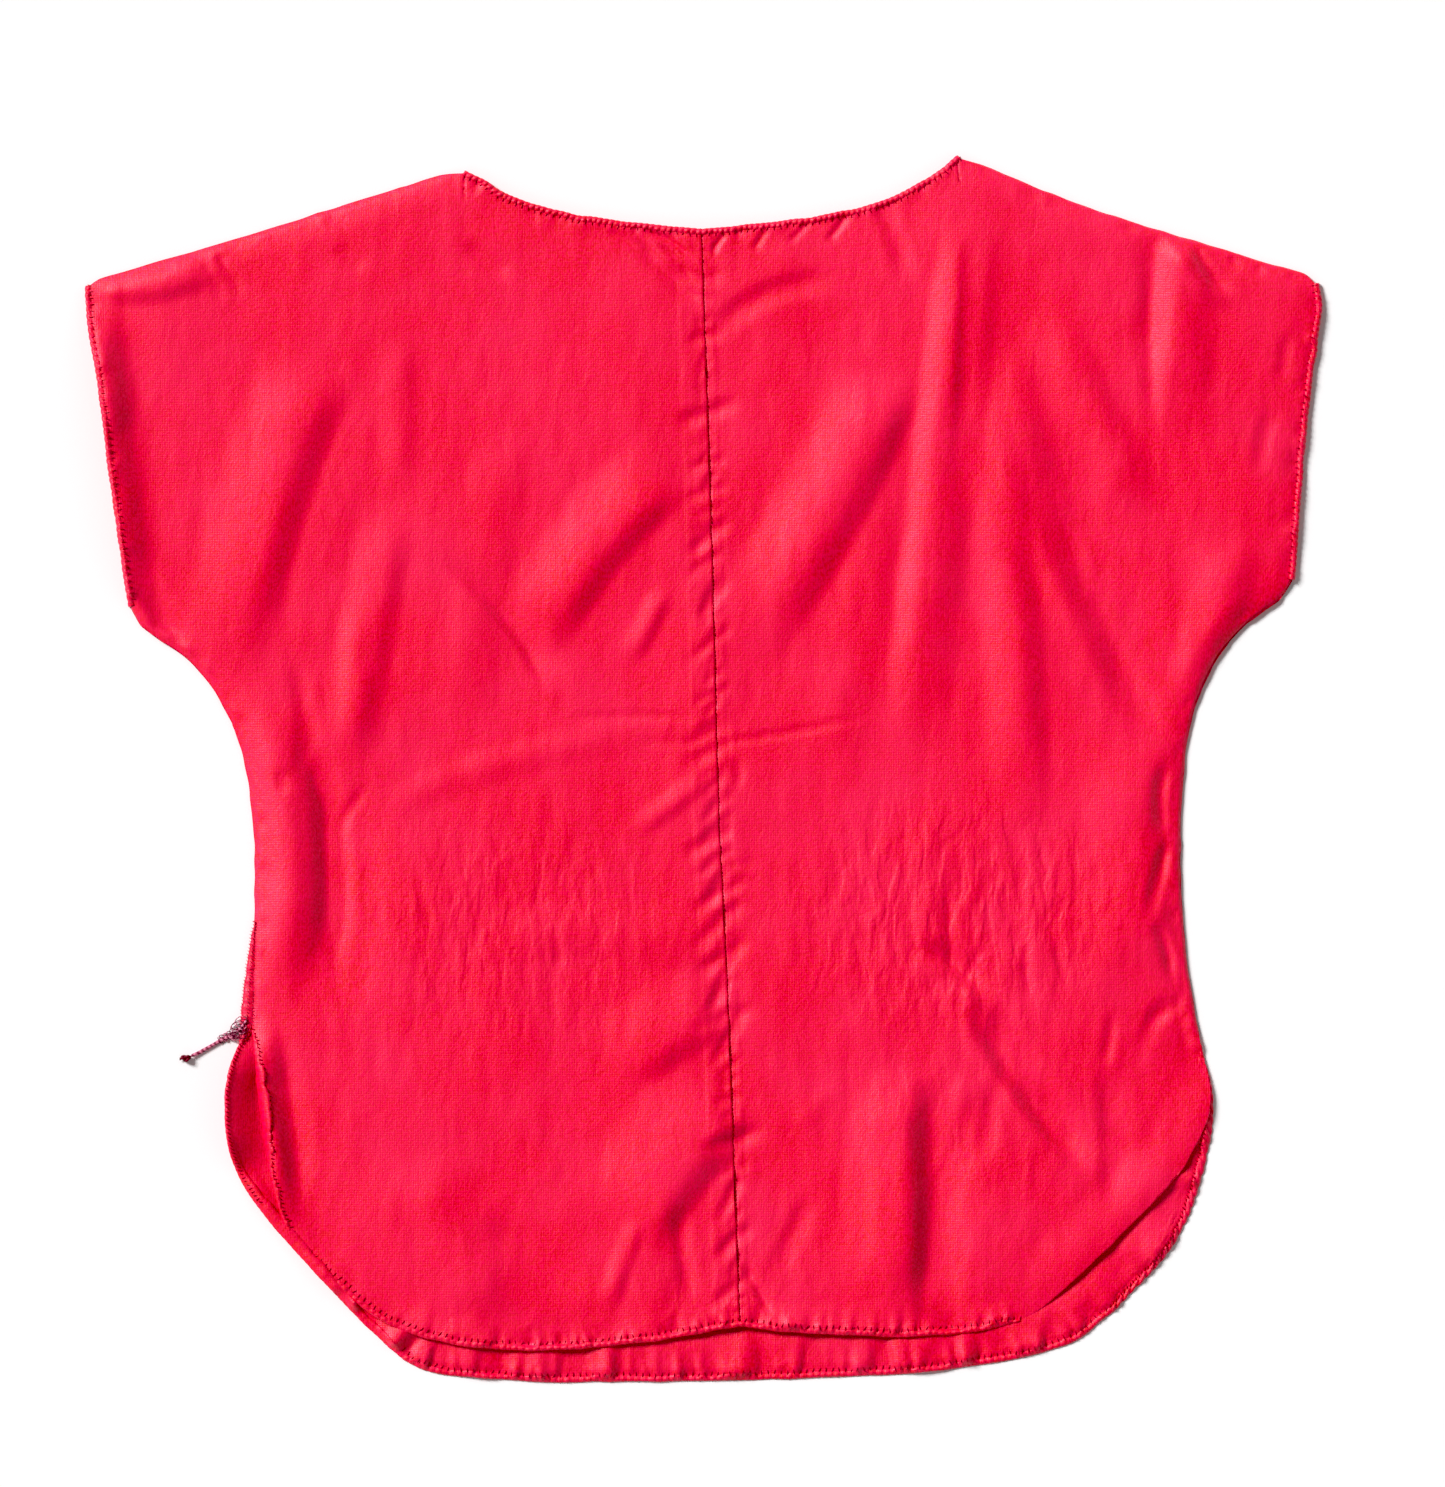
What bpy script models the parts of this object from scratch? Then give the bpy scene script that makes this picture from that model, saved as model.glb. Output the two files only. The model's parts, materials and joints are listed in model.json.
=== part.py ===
"""Boxy top laid out flat, front up: two front halves with cap sleeves, a longer back, rolled hems,
a curved tail with a slit at each side, one front corner turned under, and a thread tail at one slit."""

import math

import bmesh
import bpy
import numpy as np

MM = 0.001

# Driving dimensions, in millimetres. X runs across the top, Y towards the neck, Z up from the surface.
WALL = 1.0
SEAM_GAP = 0.3
ROLL_WIDTH = 14.0
LOFT = 2.2
HEM_LOFT = 0.9
LOFT_WIDTH = 42.0
HEM_WIDTH = 3.3
HEM_WALL = 1.4
HEM_DROP = 0.2
TURNED_HEM_WIDTH = 5.4
TURNED_HEM_LIFT = 0.8
SEAM_EDGE_WALL = 1.6
TURN_UNDER_WIDTH = 20.0
TURN_UNDER_END = 4.0
TURN_UNDER_LEVEL = 0.4
TURN_UNDER_ROOM = 1.3
TAIL_DIAMETER = 1.2
KNOT_SIZE = (5.2, 3.6, 3.2)

# How finely each panel is laid out: columns across, rows down.
FRONT_SHOULDER_COLUMNS = 14
FRONT_NECK_COLUMNS = 10
FRONT_SLEEVE_ROWS = 11
FRONT_SIDE_ROWS = 15
FRONT_TAIL_ROWS = 10
BACK_SHOULDER_COLUMNS = 9
BACK_NECK_COLUMNS = 6
BACK_SLEEVE_ROWS = 8
BACK_SIDE_ROWS = 11
BACK_TAIL_ROWS = 7
HEM_STRIPS = 2
TURN_SEGMENTS = 3
FINE_STEPS = 12
FOLD_STEPS = 16
FOLD_FADE = 0.3

# The outline runs counter-clockwise, so that the cloth is always on its left.
# Each edge is a table: landmark, x, y, width of the hem there.
LEFT_SLEEVE = (
    ("tip", -320.5, 251.0, HEM_WIDTH),
    ("below the tip", -320.0, 238.0, HEM_WIDTH),
    ("upper third", -314.0, 200.0, HEM_WIDTH),
    ("middle", -309.0, 160.0, HEM_WIDTH),
    ("lower third", -303.5, 120.0, HEM_WIDTH),
    ("lower corner", -298.0, 84.0, HEM_WIDTH),
)
LEFT_SIDE = (
    ("lower sleeve corner", -298.0, 84.0, HEM_WIDTH),
    ("under the sleeve", -290.0, 73.5, 0.0),
    ("sleeve seam", -270.0, 60.0, 0.0),
    ("underarm", -250.0, 36.0, 0.0),
    ("below the underarm", -239.5, 12.0, 0.0),
    ("high waist", -234.0, -15.0, 0.0),
    ("waist", -231.7, -50.0, 0.0),
    ("hip", -232.8, -95.0, 0.0),
    ("top of the slit", -234.0, -136.0, 0.0),
)
LEFT_FRONT_TAIL = (
    ("top of the slit", -234.0, -136.0, 0.0),
    ("hem begins", -233.0, -143.0, HEM_WIDTH),
    ("open slit", -230.6, -172.0, HEM_WIDTH),
    ("below the slit", -224.5, -210.0, HEM_WIDTH),
    ("tail curve", -214.0, -243.0, HEM_WIDTH),
    ("tail corner", -193.0, -266.0, HEM_WIDTH),
)
LEFT_FRONT_HEM = (
    ("tail corner", -193.0, -266.0, HEM_WIDTH),
    ("round the corner", -168.0, -286.0, HEM_WIDTH),
    ("lower curve", -140.0, -297.0, HEM_WIDTH),
    ("lowest", -95.0, -302.8, HEM_WIDTH),
    ("towards the seam", -30.0, -298.5, HEM_WIDTH),
    ("centre seam", 20.0, -290.0, HEM_WIDTH),
)
RIGHT_FRONT_HEM = (
    ("centre seam", 20.0, -290.0, HEM_WIDTH),
    ("past the seam", 40.0, -292.5, HEM_WIDTH),
    ("lowest", 105.0, -295.5, HEM_WIDTH),
    ("rising", 140.0, -293.0, HEM_WIDTH),
    ("turn begins", 166.0, -287.5, HEM_WIDTH),
)
RIGHT_TURNED_CORNER = (
    ("turn begins", 166.0, -287.5, 0.0),
    ("lower turn", 186.0, -272.5, 0.0),
    ("middle of the turn", 211.0, -248.5, 0.0),
    ("corner", 233.0, -227.0, 0.0),
)
RIGHT_TURNED_SIDE = (
    ("corner", 233.0, -227.0, 0.0),
    ("upper turn", 252.0, -204.0, 0.0),
    ("end of the turn", 264.0, -176.0, 0.0),
    ("slit edge", 262.5, -156.0, 0.0),
    ("top of the slit", 259.0, -141.0, 0.0),
)
RIGHT_SIDE = (
    ("top of the slit", 259.0, -141.0, 0.0),
    ("hip", 252.5, -105.0, 0.0),
    ("waist", 249.0, -58.0, 0.0),
    ("high waist", 249.5, -12.0, 0.0),
    ("below the underarm", 254.0, 24.0, 0.0),
    ("underarm", 265.0, 53.0, 0.0),
    ("sleeve seam", 284.0, 76.5, 0.0),
    ("under the sleeve", 300.0, 88.0, 0.0),
    ("lower sleeve corner", 308.5, 98.0, HEM_WIDTH),
)
RIGHT_SLEEVE = (
    ("lower corner", 308.5, 98.0, HEM_WIDTH),
    ("lower third", 311.0, 130.0, HEM_WIDTH),
    ("middle", 314.0, 170.0, HEM_WIDTH),
    ("upper third", 318.0, 205.0, HEM_WIDTH),
    ("below the tip", 322.5, 240.0, HEM_WIDTH),
    ("tip", 321.0, 252.5, HEM_WIDTH),
)
RIGHT_SHOULDER = (
    ("tip", 321.0, 252.5, HEM_WIDTH),
    ("beside the hem", 314.0, 256.5, 0.0),
    ("sleeve top", 288.0, 264.5, 0.0),
    ("upper arm", 240.0, 279.0, 0.0),
    ("shoulder", 190.0, 295.5, 0.0),
    ("near the neck", 145.0, 314.0, 0.0),
    ("neck point", 133.0, 319.0, HEM_WIDTH),
)
RIGHT_NECK = (
    ("neck point", 133.0, 319.0, HEM_WIDTH),
    ("steep part", 121.0, 309.5, HEM_WIDTH),
    ("side of the neck", 100.0, 297.5, HEM_WIDTH),
    ("curve", 70.0, 289.0, HEM_WIDTH),
    ("front of the neck", 30.0, 283.5, HEM_WIDTH),
    ("centre", 0.0, 280.5, HEM_WIDTH),
)
LEFT_NECK = (
    ("centre", 0.0, 280.5, HEM_WIDTH),
    ("front of the neck", -30.0, 283.5, HEM_WIDTH),
    ("curve", -72.0, 289.5, HEM_WIDTH),
    ("side of the neck", -100.0, 298.5, HEM_WIDTH),
    ("steep part", -114.0, 306.5, HEM_WIDTH),
    ("neck point", -123.0, 311.0, HEM_WIDTH),
)
LEFT_SHOULDER = (
    ("neck point", -123.0, 311.0, HEM_WIDTH),
    ("near the neck", -136.0, 308.0, 0.0),
    ("shoulder", -182.0, 294.0, 0.0),
    ("upper arm", -236.0, 277.0, 0.0),
    ("sleeve top", -292.0, 260.5, 0.0),
    ("beside the hem", -313.0, 254.5, 0.0),
    ("tip", -320.5, 251.0, HEM_WIDTH),
)
CENTRE_SEAM = (
    ("neck", 0.0, 280.5, 0.0),
    ("breast", 3.0, 192.0, 0.0),
    ("under the breast", 6.2, 90.0, 0.0),
    ("waist", 9.0, -20.0, 0.0),
    ("hip", 14.0, -125.0, 0.0),
    ("tail", 18.0, -235.0, 0.0),
    ("hem", 20.0, -290.0, 0.0),
)
LEFT_BACK_TAIL = (
    ("top of the slit", -234.0, -136.0, 0.0),
    ("step out", -240.5, -144.0, HEM_WIDTH),
    ("open slit", -247.0, -163.0, HEM_WIDTH),
    ("widest", -247.8, -180.0, HEM_WIDTH),
    ("turned edge begins", -242.0, -209.0, TURNED_HEM_WIDTH),
    ("turned edge", -221.0, -240.0, TURNED_HEM_WIDTH),
    ("tail corner", -188.0, -276.0, TURNED_HEM_WIDTH),
)
BACK_HEM = (
    ("tail corner", -188.0, -276.0, TURNED_HEM_WIDTH),
    ("turned edge ends", -155.0, -307.5, TURNED_HEM_WIDTH),
    ("round the corner", -140.0, -314.0, HEM_WIDTH),
    ("lower left", -102.0, -318.0, HEM_WIDTH),
    ("lowest", -55.0, -319.0, HEM_WIDTH),
    ("lower right", 54.0, -317.0, HEM_WIDTH),
    ("rising", 132.0, -312.0, HEM_WIDTH),
    ("before the corner", 190.0, -299.5, HEM_WIDTH),
    ("tail corner", 215.0, -282.0, HEM_WIDTH),
)
RIGHT_BACK_TAIL = (
    ("tail corner", 215.0, -282.0, HEM_WIDTH),
    ("tail curve", 246.0, -247.0, HEM_WIDTH),
    ("below the slit", 260.0, -212.0, HEM_WIDTH),
    ("widest", 266.0, -176.0, HEM_WIDTH),
    ("hem begins", 261.0, -148.0, HEM_WIDTH),
    ("top of the slit", 259.0, -141.0, 0.0),
)

# Folds of the front. Each row is a soft ridge, or a trough where the height is negative:
# name, start x, y, middle x, y, end x, y, half width on its left, half width on its right, height.
FRONT_FOLDS = (
    ("sleeve edge, left", -323, 262, -311, 166, -296, 70, 10, 24, 3.4),
    ("armhole, left", -190, 212, -219, 145, -243, 42, 36, 19, 5.6),
    ("breast side, left", -158, 140, -170, 75, -185, -12, 20, 14, 2.2),
    ("breast, left", -8, 154, -50, 116, -86, 58, 32, 15, 3.8),
    ("side seam, left", -232, 50, -213, -35, -219, -112, 18, 22, 3.4),
    ("waist hollow, left", -196, -8, -188, -68, -202, -140, 24, 34, -3.0),
    ("above the tail seam", 12, -126, -11, -139, -46, -162, 34, 14, 2.6),
    ("tail seam, left", 20, -170, -6, -206, -36, -250, 46, 16, 4.2),
    ("tail, left", -150, -196, -131, -245, -98, -292, 44, 32, 2.4),
    ("open slit edge", -231, -128, -224, -178, -216, -246, 8, 12, 4.4),
    ("breast, right", 100, 206, 76, 145, 18, 48, 36, 17, 5.0),
    ("neck to waist, right", 139, 292, 124, 171, 104, -20, 16, 25, 4.4),
    ("long fold, right", 146, 200, 163, 88, 168, -40, 22, 15, 3.2),
    ("towards the side, right", 155, 222, 181, 128, 224, 22, 22, 17, 2.6),
    ("side hollow, right", 172, 176, 200, 105, 256, 2, 20, 32, -1.8),
    ("armhole, right", 176, 244, 206, 184, 234, 132, 20, 15, 2.2),
    ("shoulder pinch hollow", 240, 290, 237, 250, 232, 202, 14, 12, -1.6),
    ("shoulder pinch", 250, 292, 245, 244, 247, 166, 13, 24, 3.6),
    ("underarm, right", 276, 122, 270, 78, 256, 22, 22, 16, 2.6),
    ("side, right", 230, 22, 227, -45, 234, -116, 34, 18, 2.6),
    ("tail fold, right", 106, -154, 105, -214, 100, -308, 34, 15, 4.0),
    ("tail hollow, right", 122, -150, 126, -219, 121, -308, 14, 24, -1.4),
    ("hip crease, right", 134, -104, 151, -137, 182, -188, 18, 13, 2.2),
    ("turned edge, upper", 268, -150, 256, -192, 228, -226, 24, 24, 2.0),
    ("turned edge, lower", 246, -206, 214, -240, 156, -294, 24, 24, 2.0),
)
# Folds of the back, lower, as it lies on the surface. The columns are the same.
BACK_FOLDS = (
    ("shoulder blade, left", -96, 190, -112, 104, -128, 10, 20, 18, 1.1),
    ("shoulder blade, right", 92, 176, 84, 88, 60, -16, 20, 18, 1.1),
    ("small of the back", -120, -92, -58, -84, 12, -96, 18, 18, 0.9),
    ("tail, middle", -20, -214, -26, -262, -28, -336, 16, 16, 1.0),
    ("tail, right", 112, -262, 117, -296, 119, -336, 14, 16, 1.4),
    ("tail, left", -128, -282, -118, -304, -112, -336, 14, 14, 1.0),
)
# The overlocked edge outside the left side seam: y, how far it stands out.
SEAM_EDGE = (
    (-80.0, 0.9),
    (-92.0, 1.6),
    (-104.0, 2.8),
    (-116.0, 4.4),
    (-127.0, 5.6),
    (-134.5, 6.2),
)
# The thread tail: how far along it, x, y, height of its middle.
THREAD_TAIL = (
    ("on the seam edge", -236.6, -131.0, 2.55),
    ("over its rim", -240.4, -136.0, 2.35),
    ("down", -244.0, -138.6, 1.3),
    ("on the surface", -249.0, -140.8, 0.64),
    ("bend", -255.5, -144.6, 0.64),
    ("rising", -261.0, -147.6, 0.8),
    ("before the knot", -265.46, -149.63, 1.45),
)
KNOT_AT = (-268.0, -150.6)

CLOTH_COLOUR = (250, 25, 72)
TAIL_COLOUR = (176, 48, 74)
CLOTH_ROUGHNESS = 0.72


def linear(byte):
    """One channel of an sRGB colour as a linear value."""
    value = byte / 255
    return value / 12.92 if value <= 0.04045 else ((value + 0.055) / 1.055) ** 2.4


def material(name, colour, roughness):
    made = bpy.data.materials.new(name)
    made.use_nodes = True
    shader = made.node_tree.nodes["Principled BSDF"]
    shade = (*(linear(byte) for byte in colour), 1.0)
    shader.inputs["Base Color"].default_value = shade
    shader.inputs["Roughness"].default_value = roughness
    shader.inputs["Metallic"].default_value = 0.0
    made.diffuse_color = shade
    return made


def through(rows):
    """A smooth line through the landmarks of an edge: x, y and hem width at close steps."""
    knots = np.array([row[1:4] for row in rows], float)
    before = 2 * knots[0] - knots[1]
    after = 2 * knots[-1] - knots[-2]
    knots = np.vstack((before, knots, after))
    pieces = []
    for index in range(1, len(knots) - 2):
        k0, k1, k2, k3 = knots[index - 1 : index + 3]
        d1 = math.sqrt(max(np.hypot(*(k1 - k0)[:2]), 1e-6))
        d2 = math.sqrt(max(np.hypot(*(k2 - k1)[:2]), 1e-6))
        d3 = math.sqrt(max(np.hypot(*(k3 - k2)[:2]), 1e-6))
        out = (k2 - k1) + d2 * ((k1 - k0) / d1 - (k2 - k0) / (d1 + d2))
        into = (k2 - k1) + d2 * ((k3 - k2) / d3 - (k3 - k1) / (d2 + d3))
        t = np.linspace(0, 1, FINE_STEPS, endpoint=False)[:, None]
        piece = (
            (2 * t**3 - 3 * t**2 + 1) * k1
            + (t**3 - 2 * t**2 + t) * out
            + (3 * t**2 - 2 * t**3) * k2
            + (t**3 - t**2) * into
        )
        piece[:, 2] = (k1 + (k2 - k1) * t)[:, 2]
        pieces.append(piece)
    pieces.append(knots[-2:-1])
    return np.vstack(pieces)


def spread(line, count):
    """The line at equal steps of its length: points, the way into the cloth, and hem widths."""
    run = np.concatenate(([0], np.cumsum(np.hypot(*np.diff(line[:, :2], axis=0).T))))
    at = np.linspace(0, run[-1], count + 1)
    x, y, hem = (np.interp(at, run, line[:, column]) for column in range(3))
    points = np.column_stack((x, y))
    ahead = np.column_stack([np.interp(at + 1, run, line[:, c]) for c in range(2)])
    behind = np.column_stack([np.interp(at - 1, run, line[:, c]) for c in range(2)])
    way = ahead - behind
    way /= np.linalg.norm(way, axis=1)[:, None]
    inward = np.column_stack((-way[:, 1], way[:, 0]))
    return points, inward, hem


class Edge:
    """One or more edges of a panel, end to end, counter-clockwise."""

    def __init__(self, *parts):
        laid = [spread(through(rows), count) for rows, count in parts]
        for first, second in zip(laid[:-1], laid[1:]):
            hemmed = np.mean(first[2]) > np.mean(second[2])
            for one, other in zip(first, second):
                joint = one[-1] if hemmed else other[0]
                one[-1] = other[0] = np.array(joint)
        kept = [[part[:-1] for part in piece] for piece in laid[:-1]] + [laid[-1]]
        self.points, self.inward, self.hem = map(np.concatenate, zip(*kept))

    def cloth(self):
        """Where the flat cloth ends: at the outline, or at the gap inside the hem."""
        gap = np.minimum(self.hem / HEM_WIDTH, 1) * SEAM_GAP
        return self.points + self.inward * (self.hem + gap)[:, None]


def fold_height(rows, x, y):
    """Sum of soft ridges and troughs at the points x, y."""
    total = np.zeros_like(x)
    for row in rows:
        start, middle, end = (np.array(row[i : i + 2], float) for i in (1, 3, 5))
        left_width, right_width, height = row[7:10]
        bend = 2 * middle - (start + end) / 2
        t = np.linspace(0, 1, FOLD_STEPS + 1)[:, None]
        crest = (1 - t) ** 2 * start + 2 * t * (1 - t) * bend + t**2 * end
        nearest = np.full(x.shape, np.inf)
        along = np.zeros(x.shape)
        side = np.zeros(x.shape)
        for index in range(FOLD_STEPS):
            (ax, ay), (bx, by) = crest[index], crest[index + 1]
            dx, dy = bx - ax, by - ay
            share = np.clip(((x - ax) * dx + (y - ay) * dy) / (dx * dx + dy * dy), 0, 1)
            away = np.hypot(x - ax - share * dx, y - ay - share * dy)
            closer = away < nearest
            nearest = np.where(closer, away, nearest)
            along = np.where(closer, (index + share) / FOLD_STEPS, along)
            side = np.where(closer, dx * (y - ay) - dy * (x - ax), side)
        across = np.where(side > 0, nearest / right_width, nearest / left_width)
        ends = np.clip(np.minimum(along, 1 - along) / FOLD_FADE, 0, 1)
        ends = ends * ends * (3 - 2 * ends)
        total += height * ends * np.clip(1 - across**2, 0, None) ** 2
    return total


def distance_to(line, x, y):
    """How far each point is from a line."""
    nearest = np.full(x.shape, np.inf)
    for (ax, ay), (bx, by) in zip(line[:-1], line[1:]):
        dx, dy = bx - ax, by - ay
        share = np.clip(((x - ax) * dx + (y - ay) * dy) / (dx * dx + dy * dy), 0, 1)
        nearest = np.minimum(nearest, np.hypot(x - ax - share * dx, y - ay - share * dy))
    return nearest


def lines_of(*edges):
    return [through(rows)[::3, :2] for rows in edges]


# The edges where the front is sewn to the back, and the front's hems.
SEAMS = lines_of(LEFT_SHOULDER, LEFT_SIDE, RIGHT_SIDE, RIGHT_SHOULDER)
HEMS = lines_of(
    LEFT_SLEEVE, LEFT_FRONT_TAIL, LEFT_FRONT_HEM, RIGHT_FRONT_HEM, RIGHT_SLEEVE, RIGHT_NECK, LEFT_NECK
)


def away_from(lines, width, x, y):
    """Nought on a line, rising smoothly to one at a width from it."""
    share = np.ones_like(x)
    for line in lines:
        share = np.minimum(share, distance_to(line, x, y) / width)
    return 1 - (1 - share) ** 2


def back_low(x, y):
    """Height of the back's underside."""
    return np.maximum(fold_height(BACK_FOLDS, x, y), 0)


def hollow(x, y):
    """Height of the air between the back and the front."""
    loft = HEM_LOFT + (LOFT - HEM_LOFT) * away_from(HEMS, LOFT_WIDTH, x, y)
    raw = loft + fold_height(FRONT_FOLDS, x, y)
    return away_from(SEAMS, ROLL_WIDTH, x, y) * (raw + np.sqrt(raw * raw + 1)) / 2


def front_low(x, y):
    """Height of the front's underside."""
    return back_low(x, y) + WALL + SEAM_GAP + hollow(x, y)


def patch(bottom, right, top, left):
    """Points of a panel laid between its four edges, which run counter-clockwise."""
    top = top[::-1]
    left = left[::-1]
    u = np.linspace(0, 1, len(bottom))[None, :, None]
    v = np.linspace(0, 1, len(left))[:, None, None]
    across = (1 - v) * bottom[None] + v * top[None]
    down = (1 - u) * left[:, None] + u * right[:, None]
    corners = (
        (1 - u) * (1 - v) * bottom[0]
        + u * (1 - v) * bottom[-1]
        + (1 - u) * v * top[0]
        + u * v * top[-1]
    )
    return across + down - corners


def put(name, mesh_maker, shade, collection):
    """An object from a bmesh that the maker fills."""
    shape = bmesh.new()
    mesh_maker(shape)
    mesh = bpy.data.meshes.new(name)
    shape.to_mesh(mesh)
    shape.free()
    mesh.materials.append(shade)
    made = bpy.data.objects.new(name, mesh)
    collection.objects.link(made)
    return made


def sheet(name, points, wall, shade, collection):
    """A cloth wall on a grid of points, which are its underside, rows by columns."""
    rows, columns = points.shape[0] - 1, points.shape[1] - 1

    def fill(shape):
        bmesh.ops.create_grid(shape, x_segments=columns, y_segments=rows, size=0.5)
        for vertex in shape.verts:
            column = round((vertex.co.x + 0.5) * columns)
            row = round((vertex.co.y + 0.5) * rows)
            vertex.co = points[row, column] * MM

    made = put(name, fill, shade, collection)
    thick = made.modifiers.new("wall", "SOLIDIFY")
    thick.thickness = wall * MM
    thick.offset = 1.0
    thick.use_even_offset = False
    return made


def with_height(points, height):
    return np.dstack((points, height(points[..., 0], points[..., 1])))


def hem_strip(name, edges, height, wall, shade, collection):
    """A rolled hem outside the cloth of one or more edges, end to end."""
    points = np.vstack([e.points[:-1] for e in edges[:-1]] + [edges[-1].points])
    inward = np.vstack([e.inward[:-1] for e in edges[:-1]] + [edges[-1].inward])
    hem = np.concatenate([e.hem[:-1] for e in edges[:-1]] + [edges[-1].hem])
    kept = hem > HEM_WIDTH - 0.01
    points, inward, hem = points[kept], inward[kept], hem[kept]
    level = height(*(points + inward * (hem + SEAM_GAP)[:, None]).T, hem)
    lines = []
    for share in np.linspace(0, 1, HEM_STRIPS + 1):
        line = points + inward * (hem * share)[:, None]
        lines.append(np.column_stack((line, level)))
    return sheet(name, np.array(lines), wall, shade, collection)


def hem_ring(name, front, back, shade, collection):
    """A rolled hem round an opening: along the front edge, round the end, and back along the back."""
    front_z = front_low(*front.cloth().T) - HEM_DROP
    sections = []

    def section(point, inward, width, inner_z, out):
        outer = np.array((*point, inner_z)) + np.array(out) * HEM_WALL
        inner = np.array((*point, inner_z))
        step = np.array((*(inward * width), 0.0))
        sections.append((inner, outer, outer + step, inner + step))

    def end_turn(edge, index, low, high, upwards):
        """The half turn between the front and the back, at one end of the opening."""
        way = np.array((edge.inward[index][1], -edge.inward[index][0]))
        way = -way if upwards else way
        for turn in range(1, TURN_SEGMENTS):
            angle = math.pi * turn / TURN_SEGMENTS
            lift = -math.cos(angle) if upwards else math.cos(angle)
            middle = (low + high) / 2 + lift * (high - low) / 2
            out = (*(way * math.sin(angle)), lift)
            section(edge.points[index], edge.inward[index], edge.hem[index], middle, out)

    for point, inward, width, z in zip(front.points, front.inward, front.hem, front_z):
        section(point, inward, width, z, (0, 0, 1))
    end_turn(front, -1, HEM_WALL, front_z[-1], False)
    for point, inward, width in zip(back.points[::-1], back.inward[::-1], back.hem[::-1]):
        section(point, inward, width, HEM_WALL, (0, 0, -1))
    end_turn(front, 0, HEM_WALL, front_z[0], True)
    corners = np.array(sections)
    around, across = len(corners), 4

    def fill(shape):
        bmesh.ops.create_grid(shape, x_segments=around, y_segments=across, size=0.5)
        for vertex in shape.verts:
            place = round((vertex.co.x + 0.5) * around) % around
            corner = round((vertex.co.y + 0.5) * across) % across
            vertex.co = corners[place, corner] * MM
        bmesh.ops.remove_doubles(shape, verts=shape.verts, dist=1e-6)
        bmesh.ops.recalc_face_normals(shape, faces=shape.faces)

    return put(name, fill, shade, collection)


def turned_corner(shade, collection):
    """The crescent of the right front corner that is turned under along the fold."""
    line = np.vstack((through(RIGHT_TURNED_CORNER)[:-1], through(RIGHT_TURNED_SIDE)))
    line = line[line[:, 1] < RIGHT_TURNED_SIDE[2][2]]
    points, inward, _ = spread(line, 22)
    share = np.linspace(0, 1, len(points))
    width = TURN_UNDER_END + (TURN_UNDER_WIDTH - TURN_UNDER_END) * np.sin(math.pi * share)
    rows = np.array([points + inward * (width * part)[:, None] for part in (0, 0.5, 1)])

    def height(x, y):
        room = hollow(x, y)
        level = TURN_UNDER_LEVEL * (room - TURN_UNDER_ROOM)
        return back_low(x, y) + WALL + SEAM_GAP + np.maximum(level, 0)

    return sheet("corner_turned_under", with_height(rows, height), WALL, shade, collection)


def seam_edge(shade, collection):
    """The overlocked edge of the left side seam, outside the panels."""
    y = np.array([row[0] for row in SEAM_EDGE])
    out = np.array([row[1] for row in SEAM_EDGE])
    side = through(LEFT_SIDE)[::-1]
    inner = np.interp(y, side[:, 1], side[:, 0]) - SEAM_GAP
    rows = np.array([np.column_stack((inner - out * s, y, 0 * y)) for s in (1, 0.5, 0)])
    return sheet("seam_edge_left", rows, SEAM_EDGE_WALL, shade, collection)


def thread_tail(shade, collection):
    data = bpy.data.curves.new("thread_tail", "CURVE")
    data.dimensions = "3D"
    data.bevel_depth = TAIL_DIAMETER / 2 * MM
    data.bevel_resolution = 2
    data.use_fill_caps = True
    knots = np.array([row[1:4] for row in THREAD_TAIL])
    run = np.concatenate(([0], np.cumsum(np.linalg.norm(np.diff(knots, axis=0), axis=1))))
    count = int(run[-1] / (2.5 * TAIL_DIAMETER)) + 1
    at = np.linspace(0, run[-1], count + 1)
    spline = data.splines.new("POLY")
    spline.points.add(count)
    for point, where in zip(spline.points, at):
        place = [np.interp(where, run, knots[:, axis]) * MM for axis in range(3)]
        point.co = (*place, 1.0)
    data.materials.append(shade)
    made = bpy.data.objects.new("thread_tail", data)
    collection.objects.link(made)


def tail_knot(shade, collection):
    def fill(shape):
        bmesh.ops.create_uvsphere(shape, u_segments=10, v_segments=6, radius=0.5)
        for vertex in shape.verts:
            x, y, z = vertex.co
            vertex.co = (
                (KNOT_AT[0] + x * KNOT_SIZE[0]) * MM,
                (KNOT_AT[1] + y * KNOT_SIZE[1]) * MM,
                (z + 0.5) * KNOT_SIZE[2] * MM,
            )

    put("tail_knot", fill, shade, collection)


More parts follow.
